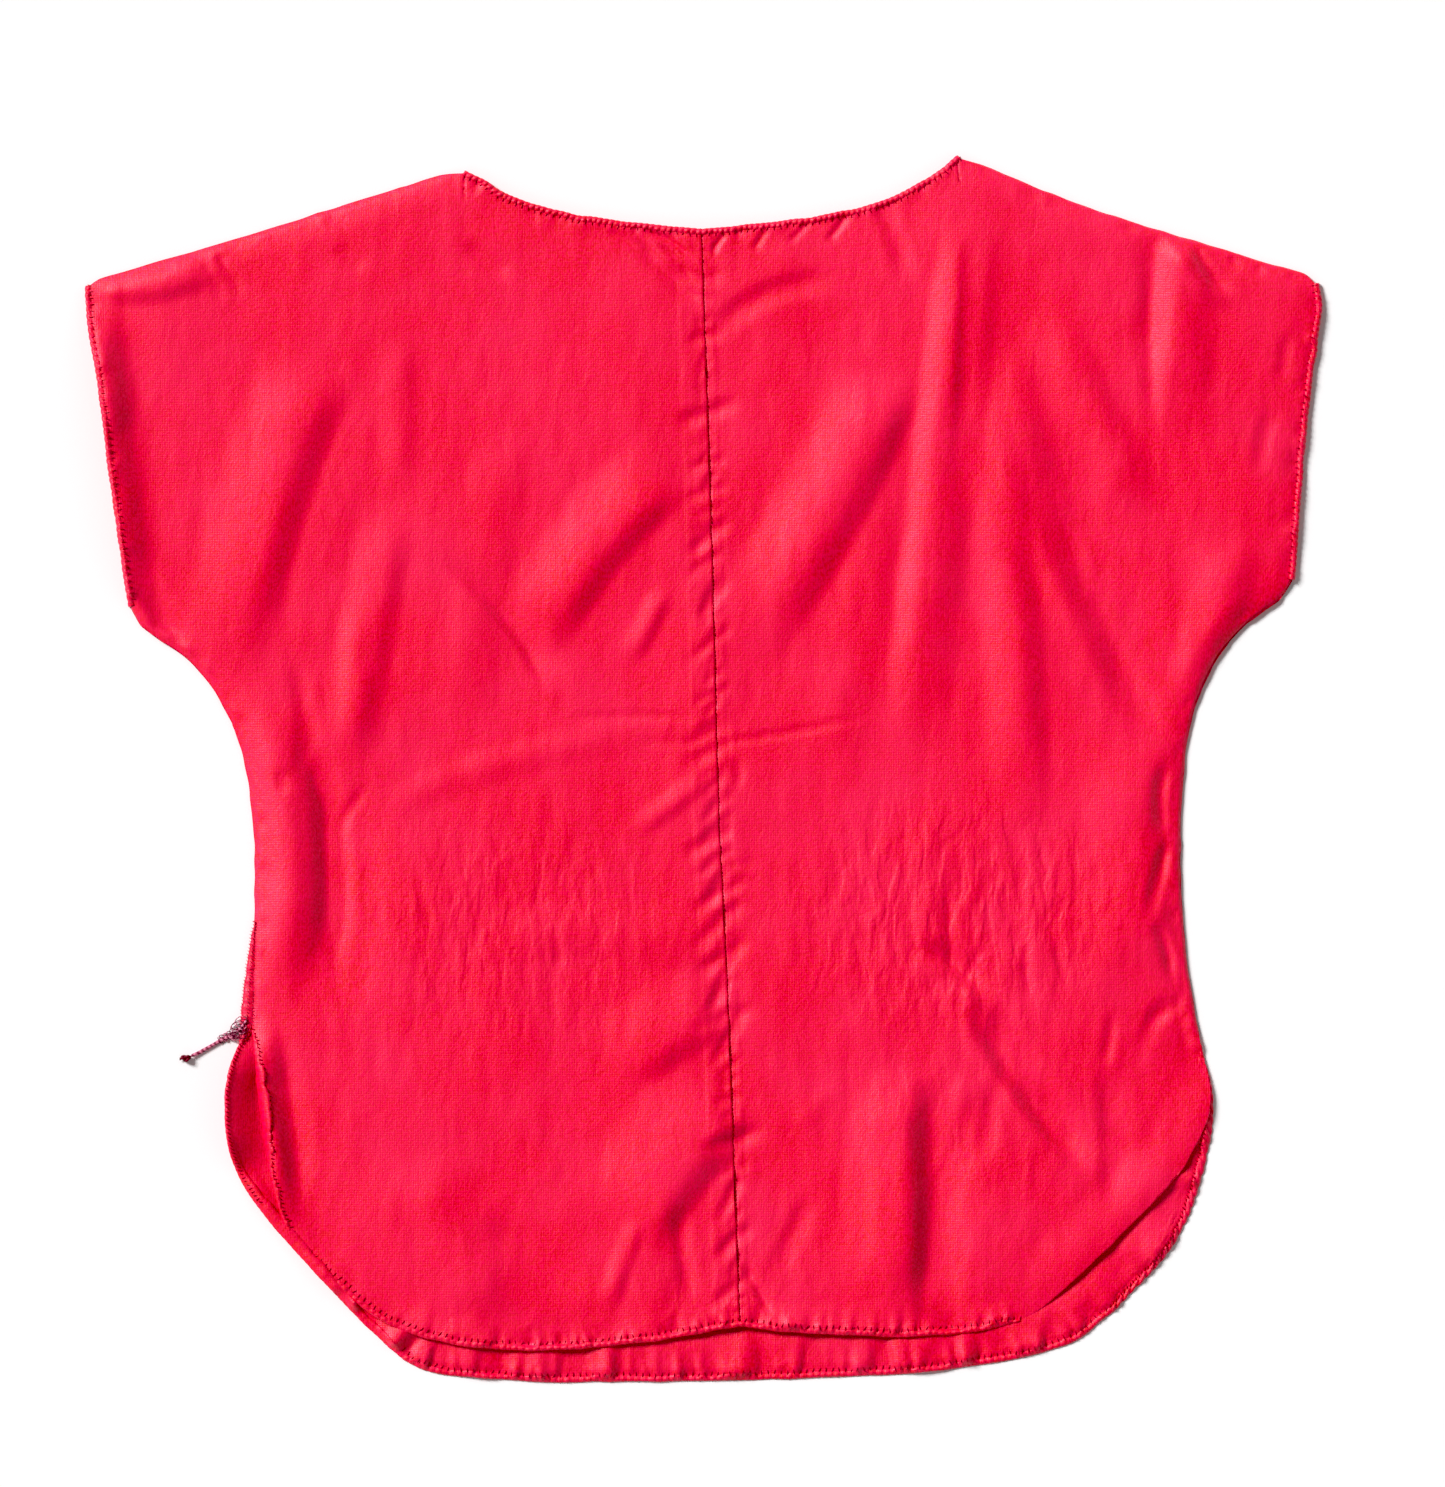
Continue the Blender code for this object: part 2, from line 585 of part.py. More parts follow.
def front_panels(shade, collection):
    neck, shoulder = FRONT_NECK_COLUMNS, FRONT_SHOULDER_COLUMNS
    columns = neck + shoulder
    rows = FRONT_SLEEVE_ROWS + FRONT_SIDE_ROWS + FRONT_TAIL_ROWS
    turn = 9
    left = {
        "bottom": Edge((LEFT_FRONT_HEM, columns)),
        "top": Edge((LEFT_NECK, neck), (LEFT_SHOULDER, shoulder)),
        "outer": Edge(
            (LEFT_SLEEVE, FRONT_SLEEVE_ROWS),
            (LEFT_SIDE, FRONT_SIDE_ROWS),
            (LEFT_FRONT_TAIL, FRONT_TAIL_ROWS),
        ),
        "sleeve": Edge((LEFT_SLEEVE, FRONT_SLEEVE_ROWS)),
        "tail": Edge((LEFT_FRONT_TAIL, FRONT_TAIL_ROWS)),
    }
    right = {
        "bottom": Edge((RIGHT_FRONT_HEM, columns - turn), (RIGHT_TURNED_CORNER, turn)),
        "hem": Edge((RIGHT_FRONT_HEM, columns - turn)),
        "top": Edge((RIGHT_SHOULDER, shoulder), (RIGHT_NECK, neck)),
        "outer": Edge(
            (RIGHT_TURNED_SIDE, FRONT_TAIL_ROWS),
            (RIGHT_SIDE, FRONT_SIDE_ROWS),
            (RIGHT_SLEEVE, FRONT_SLEEVE_ROWS),
        ),
        "sleeve": Edge((RIGHT_SLEEVE, FRONT_SLEEVE_ROWS)),
    }
    seam, _, _ = spread(through(CENTRE_SEAM), rows)
    half_gap = np.array((SEAM_GAP / 2, 0))

    outer, bottom, top = (left[edge].cloth() for edge in ("outer", "bottom", "top"))
    inner = np.array(seam[::-1]) - half_gap
    inner[0] = (inner[0][0], bottom[-1][1])
    inner[-1] = (inner[-1][0], top[0][1])
    bottom[0], bottom[-1], top[0], top[-1] = outer[-1], inner[0], inner[-1], outer[0]
    grid = patch(bottom, inner, top, outer)
    sheet("front_left_panel", with_height(grid, front_low), WALL, shade, collection)

    outer, bottom, top = (right[edge].cloth() for edge in ("outer", "bottom", "top"))
    inner = np.array(seam) + half_gap
    inner[0] = (inner[0][0], top[-1][1])
    inner[-1] = (inner[-1][0], bottom[0][1])
    bottom[0], bottom[-1], top[-1], top[0] = inner[-1], outer[0], inner[0], outer[-1]
    grid = patch(bottom, outer, top, inner)
    sheet("front_right_panel", with_height(grid, front_low), WALL, shade, collection)
    return left, right


def back_panel(shade, collection):
    neck, shoulder = BACK_NECK_COLUMNS, BACK_SHOULDER_COLUMNS
    columns = 2 * (neck + shoulder)
    bottom = Edge((BACK_HEM, columns))
    right = Edge(
        (RIGHT_BACK_TAIL, BACK_TAIL_ROWS),
        (RIGHT_SIDE, BACK_SIDE_ROWS),
        (RIGHT_SLEEVE, BACK_SLEEVE_ROWS),
    )
    top = Edge(
        (RIGHT_SHOULDER, shoulder),
        (RIGHT_NECK, neck),
        (LEFT_NECK, neck),
        (LEFT_SHOULDER, shoulder),
    )
    left = Edge(
        (LEFT_SLEEVE, BACK_SLEEVE_ROWS),
        (LEFT_SIDE, BACK_SIDE_ROWS),
        (LEFT_BACK_TAIL, BACK_TAIL_ROWS),
    )
    edges = [edge.cloth() for edge in (bottom, right, top, left)]
    edges[0][0], edges[1][0] = edges[3][-1], edges[0][-1]
    edges[2][0], edges[2][-1] = edges[1][-1], edges[3][0]
    grid = patch(*edges)
    sheet("back_panel", with_height(grid, back_low), WALL, shade, collection)
    return {
        "hem": [
            Edge((LEFT_BACK_TAIL, BACK_TAIL_ROWS)),
            bottom,
            Edge((RIGHT_BACK_TAIL, BACK_TAIL_ROWS)),
        ],
        "neck": Edge((RIGHT_NECK, neck), (LEFT_NECK, neck)),
        "left sleeve": Edge((LEFT_SLEEVE, BACK_SLEEVE_ROWS)),
        "right sleeve": Edge((RIGHT_SLEEVE, BACK_SLEEVE_ROWS)),
    }


def build():
    for leftover in list(bpy.data.objects):
        bpy.data.objects.remove(leftover)
    collection = bpy.data.collections.new("boxy_top")
    bpy.context.scene.collection.children.link(collection)
    cloth = material("coral_woven_cloth", CLOTH_COLOUR, CLOTH_ROUGHNESS)
    thread = material("overlock_thread", TAIL_COLOUR, CLOTH_ROUGHNESS)

    back = back_panel(cloth, collection)
    left, right = front_panels(cloth, collection)

    def front_hem_level(x, y, _):
        return front_low(x, y) - HEM_DROP

    def back_hem_level(x, y, hem):
        turned = (hem - HEM_WIDTH) / (TURNED_HEM_WIDTH - HEM_WIDTH)
        return back_low(x, y) + turned * TURNED_HEM_LIFT

    front_edges = [left["tail"], left["bottom"], right["hem"]]
    hem_strip("front_hem", front_edges, front_hem_level, HEM_WALL, cloth, collection)
    hem_strip("back_hem", back["hem"], back_hem_level, HEM_WALL, cloth, collection)
    neck = Edge((RIGHT_NECK, FRONT_NECK_COLUMNS), (LEFT_NECK, FRONT_NECK_COLUMNS))
    hem_ring("neck_hem", neck, back["neck"], cloth, collection)
    hem_ring("sleeve_hem_left", left["sleeve"], back["left sleeve"], cloth, collection)
    hem_ring("sleeve_hem_right", right["sleeve"], back["right sleeve"], cloth, collection)
    turned_corner(cloth, collection)
    seam_edge(thread, collection)
    thread_tail(thread, collection)
    tail_knot(thread, collection)


build()
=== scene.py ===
import json
import math

import bmesh
import bpy
import numpy as np
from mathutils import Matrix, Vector


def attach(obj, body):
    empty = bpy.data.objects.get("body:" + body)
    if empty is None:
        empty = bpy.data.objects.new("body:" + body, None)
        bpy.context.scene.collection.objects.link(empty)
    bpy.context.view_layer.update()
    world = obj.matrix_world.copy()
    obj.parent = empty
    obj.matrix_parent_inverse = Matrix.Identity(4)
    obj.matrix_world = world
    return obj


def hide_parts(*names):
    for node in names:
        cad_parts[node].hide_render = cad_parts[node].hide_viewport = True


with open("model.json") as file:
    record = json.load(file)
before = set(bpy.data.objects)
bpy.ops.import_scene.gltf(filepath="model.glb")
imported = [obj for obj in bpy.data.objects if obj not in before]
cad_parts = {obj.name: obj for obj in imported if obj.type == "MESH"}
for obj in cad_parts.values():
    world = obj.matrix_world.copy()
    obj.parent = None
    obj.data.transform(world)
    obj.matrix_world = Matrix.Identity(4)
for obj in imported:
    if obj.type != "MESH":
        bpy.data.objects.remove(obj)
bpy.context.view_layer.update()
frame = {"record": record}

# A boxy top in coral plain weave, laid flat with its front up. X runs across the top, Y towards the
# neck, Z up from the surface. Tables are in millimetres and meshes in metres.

MM = 0.001
SEED = 11

# Heights that the cut pieces share with the solids under them.
WALL = 1.0
SEAM_GAP = 0.3
ROLL_WIDTH = 14.0
LOFT = 2.2
HEM_LOFT = 0.9
LOFT_WIDTH = 42.0
TURN_UNDER_WIDTH = 20.0
TURN_UNDER_END = 4.0
TURN_UNDER_LEVEL = 0.4
TURN_UNDER_ROOM = 1.3
FINE_STEPS = 12
WAY_STEP = 0.8
FOLD_STEPS = 12
FOLD_FADE = 0.3
WAVER = 0.4
WAVER_FADE = 9.0
WAVER_CELL = 8.0
WAVER_SEED = 30

# The cloth itself, and how it is sewn.
CLOTH_THICKNESS = 0.4
BACK_LIFT = 0.05
FRONT_LIFT = 0.3
LAYER_GAP = 0.2
HEM_WIDTH = 3.3
HEM_THICKNESS = 1.15
STITCH_LEVEL = 0.62
WHIP_LEVEL = 1.25
SEAM_ROLL = 3.4
STEEP_ROLL = 1.5
GROOVE_WIDTH = 1.2
GROOVE_DEPTH = 0.35
ALLOWANCE_LEFT = 13.0
ALLOWANCE_RIGHT = 5.0
ALLOWANCE_HEIGHT = 0.22
TAIL_DIAMETER = 1.2
TAIL_STEPS = 22
KNOT_AT = (-268.0, -150.6)
KNOT_SIZE = (5.6, 4.2, 3.6)

# The view: its height in pixels, and millimetres of the top to a pixel.
PHOTO_HEIGHT = 1487
MM_PER_PIXEL = 0.52
CAMERA_OVER = (10.92, 13.0)
CAMERA_HEIGHT = 8.0
SENSOR = 36.0

# The outline runs counter-clockwise, so that the cloth is always on its left.
# Each edge is a table: landmark, x, y, width of the hem there.
LEFT_SLEEVE = (
    ("tip", -320.5, 251.0, HEM_WIDTH),
    ("below the tip", -320.0, 238.0, HEM_WIDTH),
    ("upper third", -314.0, 200.0, HEM_WIDTH),
    ("middle", -309.0, 160.0, HEM_WIDTH),
    ("lower third", -303.5, 120.0, HEM_WIDTH),
    ("lower corner", -298.0, 84.0, HEM_WIDTH),
)
LEFT_SIDE = (
    ("lower sleeve corner", -298.0, 84.0, HEM_WIDTH),
    ("under the sleeve", -290.0, 73.5, 0.0),
    ("sleeve seam", -270.0, 60.0, 0.0),
    ("underarm", -250.0, 36.0, 0.0),
    ("below the underarm", -239.5, 12.0, 0.0),
    ("high waist", -234.0, -15.0, 0.0),
    ("waist", -231.7, -50.0, 0.0),
    ("hip", -232.8, -95.0, 0.0),
    ("top of the slit", -234.0, -136.0, 0.0),
)
LEFT_FRONT_TAIL = (
    ("top of the slit", -234.0, -136.0, 1.6),
    ("hem begins", -233.0, -143.0, 2.6),
    ("open slit", -230.6, -172.0, 6.6),
    ("narrowing", -228.4, -188.0, 5.4),
    ("below the slit", -224.3, -210.0, 3.2),
    ("tail curve", -214.0, -243.0, 2.0),
    ("tail corner", -193.0, -266.0, HEM_WIDTH),
)
LEFT_FRONT_HEM = (
    ("tail corner", -193.0, -266.0, HEM_WIDTH),
    ("round the corner", -168.0, -286.0, HEM_WIDTH),
    ("lower curve", -140.0, -297.0, HEM_WIDTH),
    ("lowest", -95.0, -302.8, HEM_WIDTH),
    ("towards the seam", -30.0, -298.5, HEM_WIDTH),
    ("centre seam", 20.0, -290.0, HEM_WIDTH),
)
RIGHT_FRONT_HEM = (
    ("centre seam", 20.0, -290.0, HEM_WIDTH),
    ("past the seam", 40.0, -292.5, HEM_WIDTH),
    ("lowest", 105.0, -295.5, HEM_WIDTH),
    ("rising", 140.0, -293.0, HEM_WIDTH),
    ("near the turn", 157.0, -290.1, HEM_WIDTH),
    ("turn begins", 166.0, -287.5, 1.2),
)
RIGHT_TURNED_CORNER = (
    ("turn begins", 166.0, -287.5, 0.0),
    ("lower turn", 186.0, -272.5, 0.0),
    ("middle of the turn", 211.0, -248.5, 0.0),
    ("corner", 233.0, -227.0, 0.0),
)
RIGHT_TURNED_SIDE = (
    ("corner", 233.0, -227.0, 0.0),
    ("upper turn", 252.0, -204.0, 0.0),
    ("end of the turn", 264.0, -176.0, 0.0),
    ("slit edge", 262.5, -156.0, 0.0),
    ("top of the slit", 259.0, -141.0, 0.0),
)
RIGHT_SIDE = (
    ("top of the slit", 259.0, -141.0, 0.0),
    ("hip", 252.5, -105.0, 0.0),
    ("waist", 249.0, -58.0, 0.0),
    ("high waist", 249.5, -12.0, 0.0),
    ("below the underarm", 254.0, 24.0, 0.0),
    ("underarm", 265.0, 53.0, 0.0),
    ("sleeve seam", 284.0, 76.5, 0.0),
    ("under the sleeve", 300.0, 88.0, 0.0),
    ("lower sleeve corner", 308.5, 98.0, HEM_WIDTH),
)
RIGHT_SLEEVE = (
    ("lower corner", 308.5, 98.0, HEM_WIDTH),
    ("lower third", 311.0, 130.0, HEM_WIDTH),
    ("middle", 314.0, 170.0, HEM_WIDTH),
    ("upper third", 318.0, 205.0, HEM_WIDTH),
    ("below the tip", 322.5, 240.0, HEM_WIDTH),
    ("tip", 321.0, 252.5, HEM_WIDTH),
)
RIGHT_SHOULDER = (
    ("tip", 321.0, 252.5, HEM_WIDTH),
    ("beside the hem", 314.0, 256.5, 0.0),
    ("sleeve top", 288.0, 264.5, 0.0),
    ("upper arm", 240.0, 279.0, 0.0),
    ("shoulder", 190.0, 295.5, 0.0),
    ("near the neck", 145.0, 314.0, 0.0),
    ("neck point", 133.0, 319.0, HEM_WIDTH),
)
RIGHT_NECK = (
    ("neck point", 133.0, 319.0, HEM_WIDTH),
    ("steep part", 121.0, 309.5, HEM_WIDTH),
    ("side of the neck", 100.0, 297.5, HEM_WIDTH),
    ("curve", 70.0, 289.0, HEM_WIDTH),
    ("front of the neck", 30.0, 283.5, HEM_WIDTH),
    ("centre", 0.0, 280.5, HEM_WIDTH),
)
LEFT_NECK = (
    ("centre", 0.0, 280.5, HEM_WIDTH),
    ("front of the neck", -30.0, 283.5, HEM_WIDTH),
    ("curve", -72.0, 289.5, HEM_WIDTH),
    ("side of the neck", -100.0, 298.5, HEM_WIDTH),
    ("steep part", -114.0, 306.5, HEM_WIDTH),
    ("neck point", -123.0, 311.0, HEM_WIDTH),
)
LEFT_SHOULDER = (
    ("neck point", -123.0, 311.0, HEM_WIDTH),
    ("near the neck", -136.0, 308.0, 0.0),
    ("shoulder", -182.0, 294.0, 0.0),
    ("upper arm", -236.0, 277.0, 0.0),
    ("sleeve top", -292.0, 260.5, 0.0),
    ("beside the hem", -313.0, 254.5, 0.0),
    ("tip", -320.5, 251.0, HEM_WIDTH),
)
CENTRE_SEAM = (
    ("neck", 0.0, 280.5, 0.0),
    ("breast", 3.0, 192.0, 0.0),
    ("under the breast", 6.2, 90.0, 0.0),
    ("waist", 9.0, -20.0, 0.0),
    ("hip", 14.0, -125.0, 0.0),
    ("tail", 18.0, -235.0, 0.0),
    ("hem", 20.0, -290.0, 0.0),
)
LEFT_BACK_TAIL = (
    ("top of the slit", -234.0, -136.0, 0.6),
    ("step out", -240.5, -144.0, 2.6),
    ("open slit", -247.0, -163.0, HEM_WIDTH),
    ("widest", -247.8, -180.0, HEM_WIDTH),
    ("turned edge begins", -242.0, -209.0, 4.4),
    ("turned edge", -221.0, -240.0, 8.0),
    ("tail corner", -188.0, -276.0, 5.6),
)
BACK_HEM = (
    ("tail corner", -188.0, -276.0, 5.6),
    ("turned edge ends", -155.0, -307.5, 3.6),
    ("round the corner", -140.0, -314.0, HEM_WIDTH),
    ("lower left", -102.0, -318.0, HEM_WIDTH),
    ("lowest", -55.0, -319.0, HEM_WIDTH),
    ("lower right", 54.0, -317.0, HEM_WIDTH),
    ("rising", 132.0, -312.0, HEM_WIDTH),
    ("before the corner", 190.0, -299.5, HEM_WIDTH),
    ("tail corner", 215.0, -282.0, HEM_WIDTH),
)
RIGHT_BACK_TAIL = (
    ("tail corner", 215.0, -282.0, HEM_WIDTH),
    ("tail curve", 246.0, -247.0, HEM_WIDTH),
    ("below the slit", 260.0, -212.0, 4.2),
    ("widest", 266.0, -176.0, 4.2),
    ("hem begins", 261.0, -148.0, HEM_WIDTH),
    ("top of the slit", 259.0, -141.0, 0.6),
)

# Folds of the front. Each row is a soft ridge, or a trough where the height is negative:
# name, start x, y, middle x, y, end x, y, first half width, second half width, height.
# Where a fold runs down towards the hem, the first is on the left of the view, the second on the right.
FRONT_FOLDS = (
    ("sleeve edge, left", -323, 262, -311, 166, -296, 70, 10, 24, 3.4),
    ("armhole, left", -190, 212, -219, 145, -243, 42, 36, 19, 5.6),
    ("breast side, left", -158, 140, -170, 75, -185, -12, 20, 14, 2.2),
    ("breast, left", -8, 154, -50, 116, -86, 58, 32, 15, 3.8),
    ("side seam, left", -232, 50, -213, -35, -219, -112, 18, 22, 3.4),
    ("waist hollow, left", -196, -8, -188, -68, -202, -140, 24, 34, -3.0),
    ("above the tail seam", 12, -126, -11, -139, -46, -162, 34, 14, 2.6),
    ("tail seam, left", 20, -170, -6, -206, -36, -250, 46, 16, 4.2),
    ("tail, left", -150, -196, -131, -245, -98, -292, 44, 32, 2.4),
    ("open slit edge", -231, -128, -224, -178, -216, -246, 8, 12, 4.4),
    ("breast, right", 100, 206, 76, 145, 18, 48, 36, 17, 5.0),
    ("neck to waist, right", 139, 292, 124, 171, 104, -20, 16, 25, 4.4),
    ("long fold, right", 146, 200, 163, 88, 168, -40, 22, 15, 3.2),
    ("towards the side, right", 155, 222, 181, 128, 224, 22, 22, 17, 2.6),
    ("side hollow, right", 172, 176, 200, 105, 256, 2, 20, 32, -1.8),
    ("armhole, right", 176, 244, 206, 184, 234, 132, 20, 15, 2.2),
    ("shoulder pinch hollow", 240, 290, 237, 250, 232, 202, 14, 12, -1.6),
    ("shoulder pinch", 250, 292, 245, 244, 247, 166, 13, 24, 3.6),
    ("underarm, right", 276, 122, 270, 78, 256, 22, 22, 16, 2.6),
    ("side, right", 230, 22, 227, -45, 234, -116, 34, 18, 2.6),
    ("tail fold, right", 106, -154, 105, -214, 100, -308, 34, 15, 4.0),
    ("tail hollow, right", 122, -150, 126, -219, 121, -308, 14, 24, -1.4),
    ("hip crease, right", 134, -104, 151, -137, 182, -188, 18, 13, 2.2),
    ("turned edge, upper", 268, -150, 256, -192, 228, -226, 24, 24, 2.0),
    ("turned edge, lower", 246, -206, 214, -240, 156, -294, 24, 24, 2.0),
)
# Folds of the back as it lies on the surface. The columns are the same.
BACK_FOLDS = (
    ("shoulder blade, left", -96, 190, -112, 104, -128, 10, 20, 18, 1.1),
    ("shoulder blade, right", 92, 176, 84, 88, 60, -16, 20, 18, 1.1),
    ("small of the back", -120, -92, -58, -84, 12, -96, 18, 18, 0.9),
    ("tail, middle", -20, -214, -26, -262, -28, -336, 16, 16, 1.0),
    ("tail, right", 112, -262, 117, -296, 119, -336, 14, 16, 1.4),
    ("tail, left", -128, -282, -118, -304, -112, -336, 14, 14, 1.0),
)
# The cloth's own creases on the front, sharper than the folds that the solids carry.
FRONT_CREASES = (
    ("breast crease, left", -138, 112, -100, 75, -80, 38, 5, 17, -1.9),
    ("seam fold, breast", -18, 94, -27, 75, -38, 54, 10, 6, 1.4),
    ("flat ridge, sleeve", -156, 230, -156, 184, -157, 138, 14, 9, 0.9),
    ("flat ridge, side", -183, 90, -181, 46, -183, 2, 9, 12, 1.0),
    ("pressed line, upper left", -76, 26, -38, 27, 3, 26.5, 2.4, 2.4, -0.6),
    ("pressed line, lower left", -36, 14, -16, 14, 4, 13.5, 2.2, 2.2, -0.5),
    ("pressed line, right", 6, 13, 40, 18, 92, 28, 2.6, 2.2, -0.9),
    ("under the pressed line", 14, 4, 20, -2, 16, -12, 5, 4, -0.6),
    ("seam fold, waist", 2, -4, -14, -18, -36, -34, 9, 6, 1.2),
    ("tail fold beside the seam", -33, -232, -40, -256, -50, -284, 9, 6, 1.4),
    ("tail hollow beside the seam", -12, -226, -10, -252, -4, -280, 6, 8, -1.2),
    ("shoulder wrinkle, left", -256, 272, -246, 258, -238, 244, 3, 4, -0.9),
    ("second shoulder wrinkle", -262, 266, -254, 254, -250, 240, 3, 4, -0.7),
    ("shoulder dimple, left", -192, 272, -183, 265, -174, 258, 6, 7, -0.8),
    ("beside the neck, left", -124, 274, -112, 264, -98, 254, 7, 8, -1.0),
    ("beside the neck, right", 92, 300, 100, 276, 108, 250, 7, 9, -1.1),
    ("neck to seam, left", -36, 280, -18, 258, 2, 240, 7, 4, -1.6),
    ("neck crease at the seam", -32, 281, -16, 274, -2, 262, 2.6, 2.4, -1.7),
    ("neck crease, second", -24, 273, -13, 265, -3, 252, 2.6, 2.4, -1.2),
    ("neck crease, third", -50, 280, -41, 276, -31, 268, 2.6, 2.6, -0.9),
    ("neck pucker, beside the seam", 14, 279, 9, 274, 5, 266, 2.6, 3, -1.1),
    ("neck pucker, right", 35, 282, 31, 276, 26, 268, 2.6, 3, -1.1),
    ("neck pucker, second", 56, 285, 51, 279, 44, 272, 2.6, 3, -0.8),
    ("neck pucker, third", 76, 289, 71, 281, 64, 273, 2.6, 3, -1.1),
    ("neck to seam, right", 74, 253, 34, 247, 3, 222, 8, 10, -1.4),
    ("shoulder crease, right", 254, 280, 262, 262, 276, 246, 5, 4, -1.6),
    ("beside the shoulder crease", 246, 276, 258, 252, 280, 240, 7, 8, 1.3),
    ("pinch wall", 237, 278, 234, 232, 236, 176, 8, 5, -0.9),
    ("waist dimple, left", -219, 0, -218, -7, -216, -14, 5, 5, -0.9),
    ("hip crease, second", 158, -148, 152, -178, 142, -210, 8, 9, -0.9),
    ("hip crease, third", 140, -158, 132, -180, 130, -204, 8, 9, 0.5),
    ("hip dent", 213, -126, 212, -141, 209, -156, 5, 5, -1.0),
    ("side crease, right", 230, -133, 242, -127, 256, -117, 4, 7, -0.9),
    ("side ridge, right", 236, -132, 242, -158, 246, -190, 12, 14, 0.3),
    ("tail crease, right", 58, -220, 47, -243, 40, -264, 7, 9, -1.0),
    ("seam crease at the hem", 19, -252, 28, -268, 38, -286, 4, 4, -1.6),
    ("tail ridge, left", -148, -212, -128, -246, -104, -284, 16, 12, 0.6),
    ("tail hollow, left", -116, -232, -88, -252, -56, -274, 15, 15, -0.9),
    ("inside the tail hem", -210, -222, -180, -260, -128, -294, 9, 12, -0.9),
    ("long ridge, waist right", 119, -12, 119, -66, 118, -124, 13, 15, 0.8),
    ("short ridge, side right", 176, -26, 176, -70, 176, -114, 13, 12, 0.7),
    ("slit edge crest", -233, -138, -226.5, -178, -213, -243, 7, 6, 1.0),
    ("drop beside the slit", -224, -150, -216, -184, -208, -226, 6, 17, -1.5),
    ("waist valley, left", -206, 20, -191, -42, -195, -118, 13, 12, -2.3),
    ("wrinkle, waist right", 126, -50, 129, -81, 129, -113, 4, 4, -1.1),
    ("wrinkle ridge, waist right", 148, -48, 141, -63, 135, -78, 4, 4, 0.4),
    ("wrinkle, left of it", 107, -77, 110, -89, 113, -101, 3.4, 4, -0.7),
    ("wrinkle, further left", 92, -77, 92, -89, 93, -101, 3.4, 4, -0.6),
    ("wrinkle into the crease", 149, -84, 140, -106, 132, -113, 4, 3.4, -1.0),
    ("wrinkle, right of it", 171, -82, 168, -104, 171, -121, 3.4, 4, -0.9),
    ("wrinkle, further right", 179, -66, 182, -88, 192, -113, 3.4, 3.4, -0.6),
    ("dark line, waist right", 175, -34, 177, -52, 180, -72, 3.4, 4, -0.7),
    ("hip crease, top", 110, -94, 134, -104, 152, -128, 6, 12, -2.9),
    ("top of the right slit", 250, -132, 256, -154, 262, -180, 20, 15, -0.5),
    ("hip crease, below", 138, -114, 167, -166, 208, -212, 9, 18, -4.6),
    ("side hollow, lower", 211, -150, 212, -190, 214, -234, 8, 16, -1.5),
    ("side crease, down", 246, -121, 236, -127, 228, -150, 5, 8, -0.8),
    ("side dent, upper", 243, 6, 238, -16, 242, -38, 6, 6, -1.8),
    ("side dent, middle", 244, -38, 238, -53, 232, -83, 6, 6, -1.9),
    ("side dent, lower", 234, -80, 241, -92, 246, -114, 5, 5, -1.5),
    ("line across the seam", -8, -57, 11, -51, 34, -49, 2.4, 2.4, -0.6),
    ("tail fold edge", 113, -160, 118, -224, 114, -304, 9, 24, -2.4),
    ("tail ridge, right", 122, -200, 132, -178, 151, -156, 11, 13, 0.6),
    ("hip ridge", 150, -158, 153, -188, 150, -230, 14, 12, 0.5),
    ("tail wrinkle", 51, -189, 59, -176, 72, -164, 8, 7, 0.5),
    ("breast valley, right", 107, 194, 86, 138, 44, 70, 20, 24, -0.9),
    ("beside the neck ridge", 139, 282, 137, 228, 133, 148, 6, 10, -1.3),
    ("underarm valley, right", 176, 154, 205, 78, 240, 12, 14, 11, -2.3),
    ("sleeve trough, left", -303, 124, -286, 84, -266, 60, 10, 14, -2.6),
    ("sleeve hem fall, left", -319, 246, -305, 146, -288, 44, 4, 15, 3.6),
    ("sleeve wrinkle, right", 300, 190, 292, 170, 290, 150, 7, 6, -0.7),
    ("sleeve hem dent, right", 306, 228, 303, 214, 301, 198, 5, 5, -0.7),
    ("breast fold, softened", 106, 196, 86, 134, 32, 42, 14, 26, 1.0),
    ("neck ridge, softened", 139, 282, 124, 171, 106, -10, 18, 25, -0.9),
    ("shoulder pinch, softened", 249, 276, 245, 236, 246, 176, 9, 16, -0.8),
    ("valley crease, left", -194, -22, -189, -58, -192, -114, 3.4, 5, -1.0),
    ("valley crease, upper", -203, 4, -199, -14, -188, -30, 4, 5, -0.9),
    ("valley branch, left", -172, -8, -184, -24, -190, -40, 5, 4, -0.9),
    ("underarm crease, left", -214, 68, -207, 22, -212, -10, 6, 9, -1.0),
    ("band, waist left", -170, -26, -110, 2, -6, 22, 12, 10, 0.7),
    ("armhole fold, softened", -190, 212, -219, 145, -243, 42, 34, 24, -1.5),
    ("sleeve top, left", -316, 256, -290, 250, -246, 262, 10, 34, 2.2),
    ("beside the sleeve hem, upper", -316, 244, -310, 206, -305, 170, 4, 16, 2.0),
    ("underarm crease, right", 150, 118, 176, 96, 200, 60, 10, 9, -0.9),
)
# Where the back's edge curls up along the open slit.
BACK_CREASES = (
    ("curled slit edge", -238, -138, -250, -174, -240, -216, 10, 21, 9.5),
    ("turned tail edge", -240, -206, -214, -244, -166, -294, 9, 8, 2.4),
)
